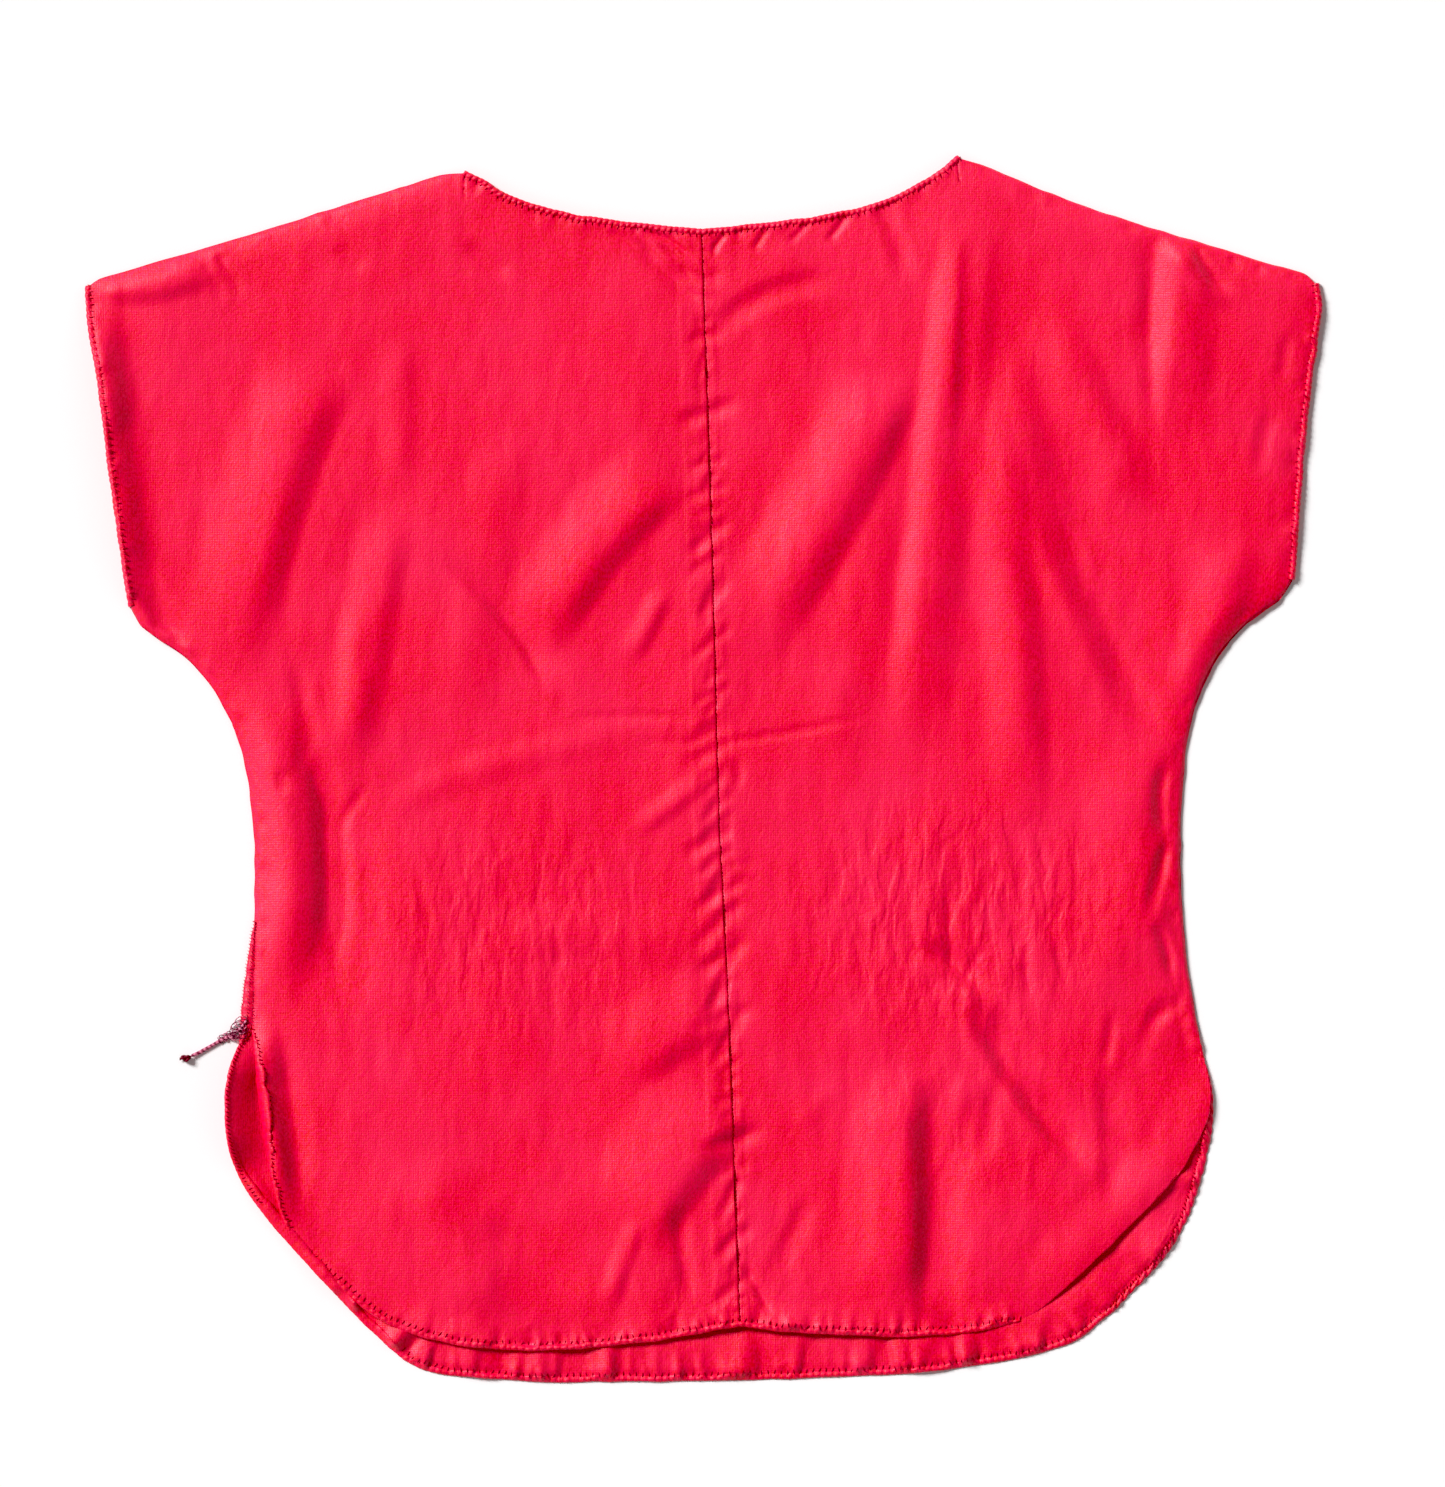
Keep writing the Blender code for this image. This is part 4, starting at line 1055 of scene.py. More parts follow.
def back_height(x, y):
    """Underside of the back's cloth."""
    lift = back_low(x, y) + BACK_LIFT
    lift += fold_height(BACK_CREASES, x, y)
    tail_distance = distance_to(BACK_HEM_LINES, x, y)
    rounded = smooth_step(1.0, 7.0, tail_distance) * smooth_step(34.0, 16.0, tail_distance)
    lift += TAIL_ROUND * rounded * smooth_step(SLIT_TOPS, SLIT_TOPS - 25, y)
    below_slits = smooth_step(SLIT_TOPS, SLIT_TOPS - 40, y)
    lift += below_slits * np.maximum(hem_puckers(x, y, *BACK_PILLOWS), -1.2)
    lift += below_slits * np.maximum(hem_puckers(x, y, *BACK_PUCKERS), -0.3)
    uneven, *cells = BACK_UNEVEN
    lift += uneven * (1 + ripple(x, y, *cells)) * smooth_step(0, 12, distance_to(SEAMS, x, y))
    return np.maximum(lift, BACK_LIFT)


def beside(lines, x, y, width, height):
    """A soft bank of that height, or a hollow, along the lines, gone at a width from them."""
    return height * np.clip(1 - distance_to(lines, x, y) / width, 0, 1) ** 2


def front_height(x, y):
    """Underside of the front's cloth."""
    seam_distance = distance_to(SEAMS, x, y)
    lift = back_low(x, y) + WALL + SEAM_GAP + hollow(x, y, seam_distance) + FRONT_LIFT
    inside = smooth_step(1.0, 9.0, seam_distance)
    centre = distance_to([SEAM_LINE], x, y)
    across = x - np.interp(y, SEAM_LINE[::-1, 1], SEAM_LINE[::-1, 0])
    detail = fold_height(FRONT_CREASES, x, y)
    detail += fold_height(SEAM_PUCKERS, x, y)
    detail += ALLOWANCE_HEIGHT * (
        smooth_step(-ALLOWANCE_LEFT - 0.7, -ALLOWANCE_LEFT + 0.7, across)
        * smooth_step(ALLOWANCE_RIGHT + 0.7, ALLOWANCE_RIGHT - 0.7, across)
    )
    detail += sum(beside(lines, x, y, width, height) for lines, width, height in FRONT_BANKS)
    detail += sum(hem_puckers(x, y, *row) for row in FRONT_PUCKERS)
    crinkled = sum(np.exp(-(((x - cx) / w) ** 2) - ((y - cy) / h) ** 2) for cx, cy, w, h in CRINKLED_PLACES)
    height, lean, *cells = CRINKLES
    detail += crinkled * height * ripple(x + lean * y, y, *cells)
    detail += sum(height * ripple(x, y, *cells) for height, *cells in FRONT_UNEVEN)
    lift += detail * inside
    lift += hem_puckers(x, y, *SIDE_PUCKERS)
    lift -= GROOVE_DEPTH * np.clip(1 - centre / GROOVE_WIDTH, 0, 1) ** 1.6
    lowest = back_low(x, y) + BACK_LIFT + CLOTH_THICKNESS + 0.05
    roll = np.where(x < 0, SEAM_ROLL, STEEP_ROLL)
    edge = np.clip(1 - seam_distance / roll, 0, 1)
    edge = np.where(x < 0, edge**2, (1 - np.sqrt(1 - edge**2)) * smooth_step(-148, -120, y))
    lift = lift * (1 - edge) + lowest * edge
    return np.maximum(lift, lowest)


# Cut pieces

def patch(bottom, right, top, left, u, v):
    """Points of a panel laid between its four edges, which run counter-clockwise."""
    low, high = bottom.cloth_at(u), top.cloth_at(1 - u)
    west, east = left.cloth_at(1 - v), right.cloth_at(v)
    low[0] = west[0]
    low[-1] = east[0]
    high[0] = west[-1]
    high[-1] = east[-1]
    u, v = u[None, :, None], v[:, None, None]
    return (
        (1 - v) * low[None]
        + v * high[None]
        + (1 - u) * west[:, None]
        + u * east[:, None]
        - (1 - u) * (1 - v) * low[0]
        - u * (1 - v) * low[-1]
        - (1 - u) * v * high[0]
        - u * v * high[-1]
    )


def closer_at_the_ends(near_start, near_end, middle):
    """Shares from nought to one: steps in millimetres at the start and the end, even ones between."""
    start, end = np.cumsum(near_start), np.cumsum(near_end)
    length = start[-1] + end[-1] + middle[0] * middle[1]
    even = start[-1] + np.arange(1, middle[1]) * middle[0]
    places = np.concatenate(([0], start, even, (length - end)[::-1], [length]))
    return places / length


def grid_faces(rows, columns):
    """Faces of a plain grid of points."""
    index = np.arange(rows * columns).reshape(rows, columns)
    return quads(index[:-1, :-1], index[:-1, 1:], index[1:, 1:], index[1:, :-1])


def halved(shares):
    """The shares, with one more half way between every two."""
    return np.interp(np.arange(2 * len(shares) - 1) / 2, np.arange(len(shares)), shares)


def panel_faces(rows, columns):
    """Faces of a panel's grid, which keeps every column beside its two hems and every second one
    between them, and the number of each point that it keeps."""
    kept = np.zeros((rows, columns), bool)
    kept[:, ::2] = True
    kept[: len(HEM_ROWS) + 1] = kept[rows - 1 - len(NECK_ROWS) :] = True
    number = np.where(kept, np.cumsum(kept).reshape(rows, columns) - 1, -1)
    faces = []
    for near, far in zip(number[:-1].tolist(), number[1:].tolist()):
        if near[1] >= 0 and far[1] >= 0:
            faces += zip(near[:-1], near[1:], far[1:], far[:-1])
            continue
        for at in range(0, columns - 1, 2):
            ring = near[at : at + 3] + far[at : at + 3][::-1]
            faces.append([corner for corner in ring if corner >= 0])
    return faces, number


def give_thickness(made):
    """The cloth's thickness, built upwards from its underside."""
    wall = made.modifiers.new("thickness", "SOLIDIFY")
    wall.thickness = CLOTH_THICKNESS * MM
    wall.offset = 1.0
    wall.use_even_offset = False
    return plain(made)


def cloth_panel(name, grid, height, material, turned=None):
    """A cut piece on a grid of places, as thick as the cloth. It may have a flap turned under it:
    the numbers of the points on its border, and the layers of points that go on from them."""
    faces, number = panel_faces(*grid.shape[:2])
    flat = grid[number >= 0]
    points = np.column_stack((flat, height(*flat.T)))
    if turned is not None:
        border, layers = turned
        width = len(border)
        first = len(points)
        points = np.vstack((points, layers.reshape(-1, 3)))
        rings = [border] + [first + layer * width + np.arange(width) for layer in range(len(layers))]
        for near, far in zip(rings[:-1], rings[1:]):
            for a, b, c, d in zip(near[:-1], far[:-1], far[1:], near[1:]):
                faces.append((int(a), int(b), int(c), int(d)))
    made = give_thickness(put_mesh(name, points, faces, material))
    for point in made.data.vertices:
        point.co.z = max(point.co.z, 0)
    return made


SEAM_STEPS = (0.45, 0.5, 0.6, 0.7, 0.8, 0.9) + (1.1,) * 12
OUTER_STEPS = (0.5, 0.7, 0.9, 1.1) + (1.5,) * 10
HEM_ROWS = (0.7, 0.9, 1.1) + (1.3,) * 10
NECK_ROWS = (0.6, 0.9, 1.1) + (1.5,) * 6
FRONT_COLUMNS = halved(closer_at_the_ends(OUTER_STEPS, SEAM_STEPS, (2.15, 126)))
FRONT_ROWS = closer_at_the_ends(HEM_ROWS, NECK_ROWS, (2.35, 236))
BACK_COLUMNS = halved(closer_at_the_ends(OUTER_STEPS, OUTER_STEPS, (3.2, 178)))
BACK_ROWS = closer_at_the_ends(HEM_ROWS + (1.8,) * 22, NECK_ROWS, (3.9, 148))


def front_left(material):
    """The left half, from its sleeve to the centre seam."""
    grid = patch(
        Edge((LEFT_FRONT_HEM, 1)),
        Edge((CENTRE_SEAM[::-1], 1)),
        Edge((LEFT_NECK, 10), (LEFT_SHOULDER, 14)),
        Edge((LEFT_SLEEVE, 11), (LEFT_SIDE, 15), (LEFT_FRONT_TAIL, 10)),
        FRONT_COLUMNS,
        FRONT_ROWS,
    )
    grid[:, -1, 0] -= SEAM_GAP / 2
    return cloth_panel("front_left_cloth", grid, front_height, material)


# The turned corner: the steps of its turn in degrees, then the parts of its width.
TURN_ANGLES = (30, 60, 90, 120, 150, 180)
FLAP_PARTS = (0.15, 0.4, 0.7, 1.0)
TURN_BULGE = 0.8


def flap_level(x, y):
    """Height of the corner turned under, between the back and the front."""
    room = hollow(x, y, distance_to(SEAMS, x, y))
    return back_low(x, y) + WALL + SEAM_GAP + np.maximum(TURN_UNDER_LEVEL * (room - TURN_UNDER_ROOM), 0)


def front_right(material):
    """The right half, with its tail corner turned under."""
    columns = 1 - FRONT_COLUMNS[::-1]
    grid = patch(
        Edge((RIGHT_FRONT_HEM, 15), (RIGHT_TURNED_CORNER, 9)),
        Edge((RIGHT_TURNED_SIDE, 10), (RIGHT_SIDE, 15), (RIGHT_SLEEVE, 11)),
        Edge((RIGHT_SHOULDER, 14), (RIGHT_NECK, 10)),
        Edge((CENTRE_SEAM, 1)),
        columns,
        FRONT_ROWS,
    )
    grid[:, 0, 0] += SEAM_GAP / 2
    number = panel_faces(*grid.shape[:2])[1]
    along_bottom = number[0, columns >= 15 / 24]
    along_side = number[1:, -1][grid[1:, -1, 1] < RIGHT_TURNED_SIDE[2][2]]
    border = np.concatenate((along_bottom, along_side))
    line = grid[number >= 0][border]
    inward = to_the_left(unit(np.gradient(line, axis=0)))
    run = run_of(line)
    share = run / run[-1]
    width = TURN_UNDER_END + (TURN_UNDER_WIDTH - TURN_UNDER_END) * np.sin(math.pi * share)
    start = front_height(*line.T)
    drop = np.maximum(start - flap_level(*line.T) - CLOTH_THICKNESS, 0.5)
    layers = []
    for angle in np.radians(TURN_ANGLES):
        place = line - inward * (np.sin(angle) * drop / 2 * TURN_BULGE)[:, None]
        layers.append(np.column_stack((place, start - drop * (1 - np.cos(angle)) / 2)))
    for part in FLAP_PARTS:
        place = line + inward * (width * part)[:, None]
        level = np.minimum(flap_level(*place.T), front_height(*place.T) - CLOTH_THICKNESS - LAYER_GAP)
        layers.append(np.column_stack((place, np.maximum(level, back_low(*place.T) + LAYER_GAP))))
    return cloth_panel("front_right_cloth", grid, front_height, material, (border, np.array(layers)))


def back(material):
    """The back, in one piece."""
    grid = patch(
        Edge((BACK_HEM, 1)),
        Edge((RIGHT_BACK_TAIL, 7), (RIGHT_SIDE, 11), (RIGHT_SLEEVE, 8)),
        Edge((RIGHT_SHOULDER, 9), (RIGHT_NECK, 6), (LEFT_NECK, 6), (LEFT_SHOULDER, 9)),
        Edge((LEFT_SLEEVE, 8), (LEFT_SIDE, 11), (LEFT_BACK_TAIL, 7)),
        BACK_COLUMNS,
        BACK_ROWS,
    )
    return cloth_panel("back_cloth", grid, back_height, material)


# Rolled hems

# A rolled hem: its step along the edge, and its section over and under, as shares of its width.
ROLL_STEP = 0.5
ROLL_OVER = (0.0, 0.08, 0.27, 0.5, 0.73, 0.93, 1.0)
ROLL_UNDER = (0.93, 0.5, 0.06)
ROLL_SQUARENESS = 2.6
TURNED_UP_WIDTH = 5.2
TURNED_UP_CREST = 1.5


def hem_roll(name, edges, height, material, pitch=3.6, slant=0.15, pinch=0.4, frayed=0.0):
    """A hem rolled in twice: a flattened cord along the cloth's edge, drawn in at every stitch. Where
    it is wide it is a strip turned up to a crest, and it is frayed so far from its start."""
    line = np.vstack([through(rows)[:-1] for rows in edges[:-1]] + [through(edges[-1])])
    length = run_of(line)[-1]
    at = np.linspace(0, length, int(length / ROLL_STEP) + 1)
    points, inward, hem = places_on(line, at)
    fray = 0.5 * ripple_along(at, 1.5, 530) + 0.6 * ripple_along(at, 3.9, 531)
    hem = np.maximum(hem + fray * np.clip((frayed - at) / 12, 0, 1), 0.5)
    hem = hem * (1 + 0.09 * ripple_along(at, 6.0, 520))
    wander = 1.3 * ripple_along(at, 8.0, 500)
    turned_up = smooth_step(HEM_WIDTH + 0.4, TURNED_UP_WIDTH, hem)
    rings = []
    for share in ROLL_OVER:
        beat = (0.5 + 0.5 * np.cos(2 * math.pi * (at / pitch - slant * share) + wander)) ** 2
        round_top = 1 - abs(2 * share - 1) ** ROLL_SQUARENESS
        drawn_in = pinch * (0.4 + 0.6 * share) * (1 - 0.8 * turned_up)
        bulge = round_top * HEM_THICKNESS * (1 - drawn_in * beat)
        bulge = bulge * (1 + 0.3 * ripple_along(at, 4.5, 510)) * (0.75 + 0.5 * pinch)
        bulge = bulge * (1 - 0.5 * turned_up) + turned_up * TURNED_UP_CREST * share * (share < 0.99)
        out = (0.3 * beat - 0.1) * (1 - share) * pinch
        place = points + inward * (hem * share + out)[:, None]
        level = height(*place.T) + 0.1 + np.maximum(bulge, 0.1)
        rings.append(np.column_stack((place, level)))
    for share in ROLL_UNDER:
        place = points + inward * (hem * share)[:, None]
        rings.append(np.column_stack((place, height(*place.T) - 0.05)))
    rings = np.array(rings).transpose(1, 0, 2)
    count, around = rings.shape[:2]
    index = np.arange(count * around).reshape(count, around)
    following = np.roll(index, -1, axis=1)
    faces = quads(index[:-1], index[1:], following[1:], following[:-1])
    faces += [index[0].tolist(), index[-1][::-1].tolist()]
    made = outwards(put_mesh(name, rings.reshape(-1, 3), faces, material))
    return made, (points, inward, hem)


# Stitches: pitch, stitch length, thread thickness, slant in radians, unevenness of the slant.
HEM_STITCH = (3.4, 3.5, 0.5, 1.45, 0.45)
WHIP_STITCH = (2.2, 2.9, 0.75, 1.0, 0.4)
SEAM_STITCH = (2.2, 2.9, 0.8, 0.1, 0.12)
OVERLOCK_STITCH = (1.7, 2.6, 0.42, 0.95, 0.35)


def stitch_tree():
    """Stitches laid end to end along the edges of a mesh: each an oval bead turned along its line."""
    tree = bpy.data.node_groups.new("stitches_along_a_line", "GeometryNodeTree")
    socket = tree.interface.new_socket
    socket("Geometry", in_out="INPUT", socket_type="NodeSocketGeometry")
    for name in ("Pitch", "Stitch length", "Thread thickness", "Slant", "Unevenness"):
        socket(name, in_out="INPUT", socket_type="NodeSocketFloat")
    socket("Thread", in_out="INPUT", socket_type="NodeSocketMaterial")
    socket("Geometry", in_out="OUTPUT", socket_type="NodeSocketGeometry")
    source = tree.nodes.new("NodeGroupInput").outputs
    curve = add_node(tree, "GeometryNodeMeshToCurve", links={"Mesh": source["Geometry"]})
    steps = add_node(
        tree,
        "GeometryNodeResampleCurve",
        {"mode": "LENGTH"},
        links={"Curve": curve.outputs[0], "Length": source["Pitch"]},
    )
    bead = add_node(tree, "GeometryNodeMeshUVSphere", inputs={"Segments": 6, "Rings": 4, "Radius": 0.5})
    thickness = source["Thread thickness"]
    size = add_node(
        tree,
        "ShaderNodeCombineXYZ",
        links={"X": source["Stitch length"], "Y": thickness, "Z": thickness},
    )
    shaped = add_node(
        tree,
        "GeometryNodeTransform",
        links={"Geometry": bead.outputs[0], "Scale": size.outputs[0]},
    )
    way = add_node(tree, "GeometryNodeInputTangent")
    facing = add_node(
        tree,
        "FunctionNodeAlignRotationToVector",
        {"axis": "X", "pivot_axis": "Z"},
        links={"Vector": way.outputs[0]},
    )
    uneven = add_node(
        tree,
        "FunctionNodeRandomValue",
        {"data_type": "FLOAT"},
        {2: -1.0, 3: 1.0, "Seed": SEED},
    )
    turn = add_node(
        tree,
        "ShaderNodeMath",
        {"operation": "MULTIPLY_ADD"},
        links={0: uneven.outputs[1], 1: source["Unevenness"], 2: source["Slant"]},
    )
    turn_vector = add_node(tree, "ShaderNodeCombineXYZ", links={"Z": turn.outputs[0]})
    as_rotation = add_node(tree, "FunctionNodeEulerToRotation", links={0: turn_vector.outputs[0]})
    turned = add_node(
        tree,
        "FunctionNodeRotateRotation",
        {"rotation_space": "LOCAL"},
        links={0: facing.outputs[0], 1: as_rotation.outputs[0]},
    )
    laid = add_node(
        tree,
        "GeometryNodeInstanceOnPoints",
        links={"Points": steps.outputs[0], "Instance": shaped.outputs[0], "Rotation": turned.outputs[0]},
    )
    real = add_node(tree, "GeometryNodeRealizeInstances", links={"Geometry": laid.outputs[0]})
    smooth = add_node(tree, "GeometryNodeSetShadeSmooth", links={"Geometry": real.outputs[0]})
    finish = add_node(
        tree,
        "GeometryNodeSetMaterial",
        links={"Geometry": smooth.outputs[0], "Material": source["Thread"]},
    )
    add_node(tree, "NodeGroupOutput", links={0: finish.outputs[0]})
    return tree


def stitches(name, lines, tree, thread, pitch, length, thickness, slant, unevenness):
    """Stitches along lines of points in millimetres, as one plain mesh."""
    points = np.vstack(lines)
    edges, first = [], 0
    for line in lines:
        edges += [(first + i, first + i + 1) for i in range(len(line) - 1)]
        first += len(line)
    mesh = bpy.data.meshes.new(name)
    mesh.from_pydata([tuple(p) for p in points * MM], edges, [])
    made = put_object(name, mesh)
    nodes = made.modifiers.new("stitches", "NODES")
    nodes.node_group = tree
    values = {
        "Pitch": pitch * MM,
        "Stitch length": length * MM,
        "Thread thickness": thickness * MM,
        "Slant": slant,
        "Unevenness": unevenness,
        "Thread": thread,
    }
    for item in tree.interface.items_tree:
        if item.in_out == "INPUT" and item.name in values:
            nodes[item.identifier] = values[item.name]
    return plain(made)


def hem_stitch_line(track, height, share, part=(0.0, 1.0), level=STITCH_LEVEL):
    """The line of stitching along part of a hem, at a share of its width and a level over the cloth."""
    count = len(track[0])
    points, inward, hem = (column[int(part[0] * count) : int(part[1] * count) : 3] for column in track)
    place = points + inward * (hem * share)[:, None]
    return np.column_stack((place, height(*place.T) + level))


# Threads at the left slit

TAIL_POINTS = np.array([row[1:4] for row in THREAD_TAIL])
TAIL_RUN = np.concatenate(([0], np.cumsum(np.linalg.norm(np.diff(TAIL_POINTS, axis=0), axis=1))))


def on_the_tail(at):
    """Points of the thread tail's middle, at distances along it."""
    return np.column_stack([np.interp(at, TAIL_RUN, TAIL_POINTS[:, axis]) for axis in range(3)])


def tail_curve(material):
    """The thread tail as a cord."""
    data = bpy.data.curves.new("thread_tail_cord", "CURVE")
    data.dimensions = "3D"
    data.bevel_depth = TAIL_DIAMETER / 2 * MM
    data.bevel_resolution = 3
    data.use_fill_caps = True
    middle = on_the_tail(np.linspace(0, TAIL_RUN[-1], TAIL_STEPS))
    spline = data.splines.new("POLY")
    spline.points.add(len(middle) - 1)
    for point, place in zip(spline.points, middle):
        point.co = (*(place * MM), 1.0)
    data.materials.append(material)
    return put_object("thread_tail_cord", data)


# The way that the first point of a round thread's section is turned from.
TUBE_START = (0.13, 0.21, 1.0)


def tube(name, centres, radius, sides, material, closed):
    """A round thread along points in millimetres."""
    centres = np.asarray(centres, float)
    way = np.roll(centres, -1, 0) - np.roll(centres, 1, 0) if closed else np.gradient(centres, axis=0)
    way = unit(way)
    side = unit(np.cross(way, TUBE_START))
    up = np.cross(side, way)
    angles = np.linspace(0, 2 * math.pi, sides, endpoint=False)
    rings = centres[:, None] + radius * (
        np.cos(angles)[None, :, None] * side[:, None] + np.sin(angles)[None, :, None] * up[:, None]
    )
    count = len(centres)
    index = np.arange(count * sides).reshape(count, sides)
    ahead = np.roll(index, -1, 0) if closed else index[1:]
    index = index if closed else index[:-1]
    faces = quads(index, np.roll(index, -1, 1), np.roll(ahead, -1, 1), ahead)
    if not closed:
        faces += [list(range(sides)), list(range((count - 1) * sides, count * sides))]
    return outwards(put_mesh(name, rings.reshape(-1, 3), faces, material))


# Loose loops: how many, where along the tail they lie, their width there, their thread.
LOOPS = 24
LOOPS_FROM, LOOPS_OVER = 3.0, 14.5
LOOP_WIDTHS = ((3, 7, 17), (4.6, 4.0, 1.7))
LOOP_RADIUS, LOOP_SIDES, LOOP_STEPS = 0.23, 5, 14
LOWEST_LOOP = 0.3
# The chain beyond them: its strands, where it begins and ends, its twist, half width, half height.
CHAIN_STRANDS = 4
CHAIN_FROM, CHAIN_SHORT, CHAIN_STEPS = 12.0, 0.8, 60
CHAIN_TWIST, CHAIN_HALF_WIDTH, CHAIN_HALF_HEIGHT = 4.6, 0.78, 0.62
CHAIN_RADIUS = 0.22
LOWEST_CHAIN = 0.26


def thread_tangle(material, dark_material):
    """Loose loops of the overlock's threads, where the chain leaves the seam: pale pink ones, their pink
    partly painted highlight of the threads, and maroon ones.
    """
    draw = np.random.default_rng(SEED + 1)
    loops = []
    for index in range(LOOPS):
        where = LOOPS_FROM + LOOPS_OVER * index / (LOOPS - 1)
        centre = on_the_tail(where)[0]
        wide = np.interp(where, *LOOP_WIDTHS)
        centre[:2] += draw.uniform(-0.5, 0.5, 2) * wide
        turn, tilt = draw.uniform(0, math.pi), draw.uniform(-0.5, 0.5)
        t = np.linspace(0, 2 * math.pi, LOOP_STEPS, endpoint=False)
        ring = np.column_stack((np.cos(t) * wide * draw.uniform(0.6, 1.1), np.sin(t) * wide * 0.5, 0 * t))
        ring[:, 2] = 0.45 * np.sin(2 * t + turn) + tilt * ring[:, 1] * 0.4
        c, s = math.cos(turn), math.sin(turn)
        ring[:, :2] = ring[:, :2] @ np.array(((c, s), (-s, c)))
        ring += centre
        ring[:, 2] = np.maximum(ring[:, 2], LOWEST_LOOP)
        # Every other loop is pale pink, partly painted highlight; the others are maroon.
        thread = (material, dark_material)[index % 2]
        loops.append(tube("loop", ring, LOOP_RADIUS, LOOP_SIDES, thread, True))
    chain = []
    for strand in range(CHAIN_STRANDS):
        at = np.linspace(CHAIN_FROM, TAIL_RUN[-1] - CHAIN_SHORT, CHAIN_STEPS)
        middle = on_the_tail(at)
        side = to_the_left(unit(np.gradient(middle, axis=0)))
        turn = 2 * math.pi * (at / CHAIN_TWIST + strand / CHAIN_STRANDS)
        line = middle.copy()
        line[:, :2] += side * (np.cos(turn) * CHAIN_HALF_WIDTH)[:, None]
        line[:, 2] = np.maximum(line[:, 2] + np.sin(turn) * CHAIN_HALF_HEIGHT, LOWEST_CHAIN)
        chain.append(tube("chain", line, CHAIN_RADIUS, LOOP_SIDES, material, False))
    return join("thread_loops", chain + loops[::2]), join("dark_thread_loops", loops[1::2])


# The knot's thread, its steps and sides, and how far each of its cut ends is turned aside.
KNOT_RADIUS, KNOT_STEPS, KNOT_SIDES = 0.78, 72, 8
KNOT_ENDS = (-0.5, -0.15, 0.2, 0.55)
KNOT_END_RADIUS, KNOT_END_STEPS = 0.2, 7


def knot(material):
    """A small overhand knot, with its cut ends in a tuft."""
    t = np.linspace(0, 2 * math.pi, KNOT_STEPS, endpoint=False)
    shape = np.column_stack((np.sin(t) + 2 * np.sin(2 * t), np.cos(t) - 2 * np.cos(2 * t), -np.sin(3 * t)))
    shape /= np.abs(shape).max(0)
    half = np.array(KNOT_SIZE) / 2 - KNOT_RADIUS
    centre = np.array((*KNOT_AT, KNOT_SIZE[2] / 2))
    pieces = [tube("knot", centre + shape * half, KNOT_RADIUS, KNOT_SIDES, material, True)]
    t = np.linspace(0, 1, KNOT_END_STEPS)
    for turn in KNOT_ENDS:
        end = np.column_stack((-1.6 - 1.7 * t, turn * (0.5 + 0.7 * t) - 0.5 * t, -0.8 * t + turn * 0.3))
        pieces.append(tube("end", centre + end, KNOT_END_RADIUS, LOOP_SIDES, material, False))
    return join("tail_knot_tied", pieces)


# The seam edge's section, from its outer rim in: share of its width, height. Then its rows of thread.
STRIP_SHARES = np.array((0.0, 0.12, 0.35, 0.65, 0.88, 1.0))
STRIP_HEIGHTS = np.array((0.5, 1.3, 1.9, 2.0, 1.5, 0.9))
STRIP_ROWS = 110
THREAD_ROWS = (0.04, 0.42, 0.9)


def seam_strip(cloth, thread, tree):
    """The overlocked allowance outside the left side seam: two raw edges under a net of thread."""
    y = np.linspace(SEAM_EDGE[0][0], SEAM_EDGE[-1][0], STRIP_ROWS)
    table = np.array(SEAM_EDGE)[::-1]
    outer = np.interp(y, table[:, 0], table[:, 1]) + 0.3 * ripple_along(y, 1.6, 610)
    inner = np.interp(y, table[:, 0], table[:, 2]) + 0.25 * ripple_along(y, 2.4, 611)
    x = outer[:, None] + (inner - outer)[:, None] * STRIP_SHARES[None]
    z = STRIP_HEIGHTS[None] * (1 + 0.16 * ripple_along(y, 1.7, 620))[:, None]
    grid = np.dstack((x, np.repeat(y[:, None], len(STRIP_SHARES), 1), z))
    faces = grid_faces(*grid.shape[:2])
    strip = give_thickness(put_mesh("seam_edge_strip", grid.reshape(-1, 3), faces, cloth))
    lines = []
    for share in THREAD_ROWS:
        level = np.interp(share, STRIP_SHARES, STRIP_HEIGHTS) + CLOTH_THICKNESS + 0.1
        lines.append(np.column_stack((outer + (inner - outer) * share, y, 0 * y + level)))
    return strip, stitches("seam_edge_thread", lines, tree, thread, *OVERLOCK_STITCH)


# Light and surface

BLACK_POINT = 0.0135
FILL_LOW = 0.6
FILL_OVERHEAD = 0.08
FILL_HEIGHTS = (0.35, 0.8)
KEY_STRENGTH = 4.2
KEY_SPREAD = 20.0
KEY_PLACE = (-2.75, 2.05, 2.5)
FLOOR_HALF = 2.0
FLOOR_LEVEL = -0.3


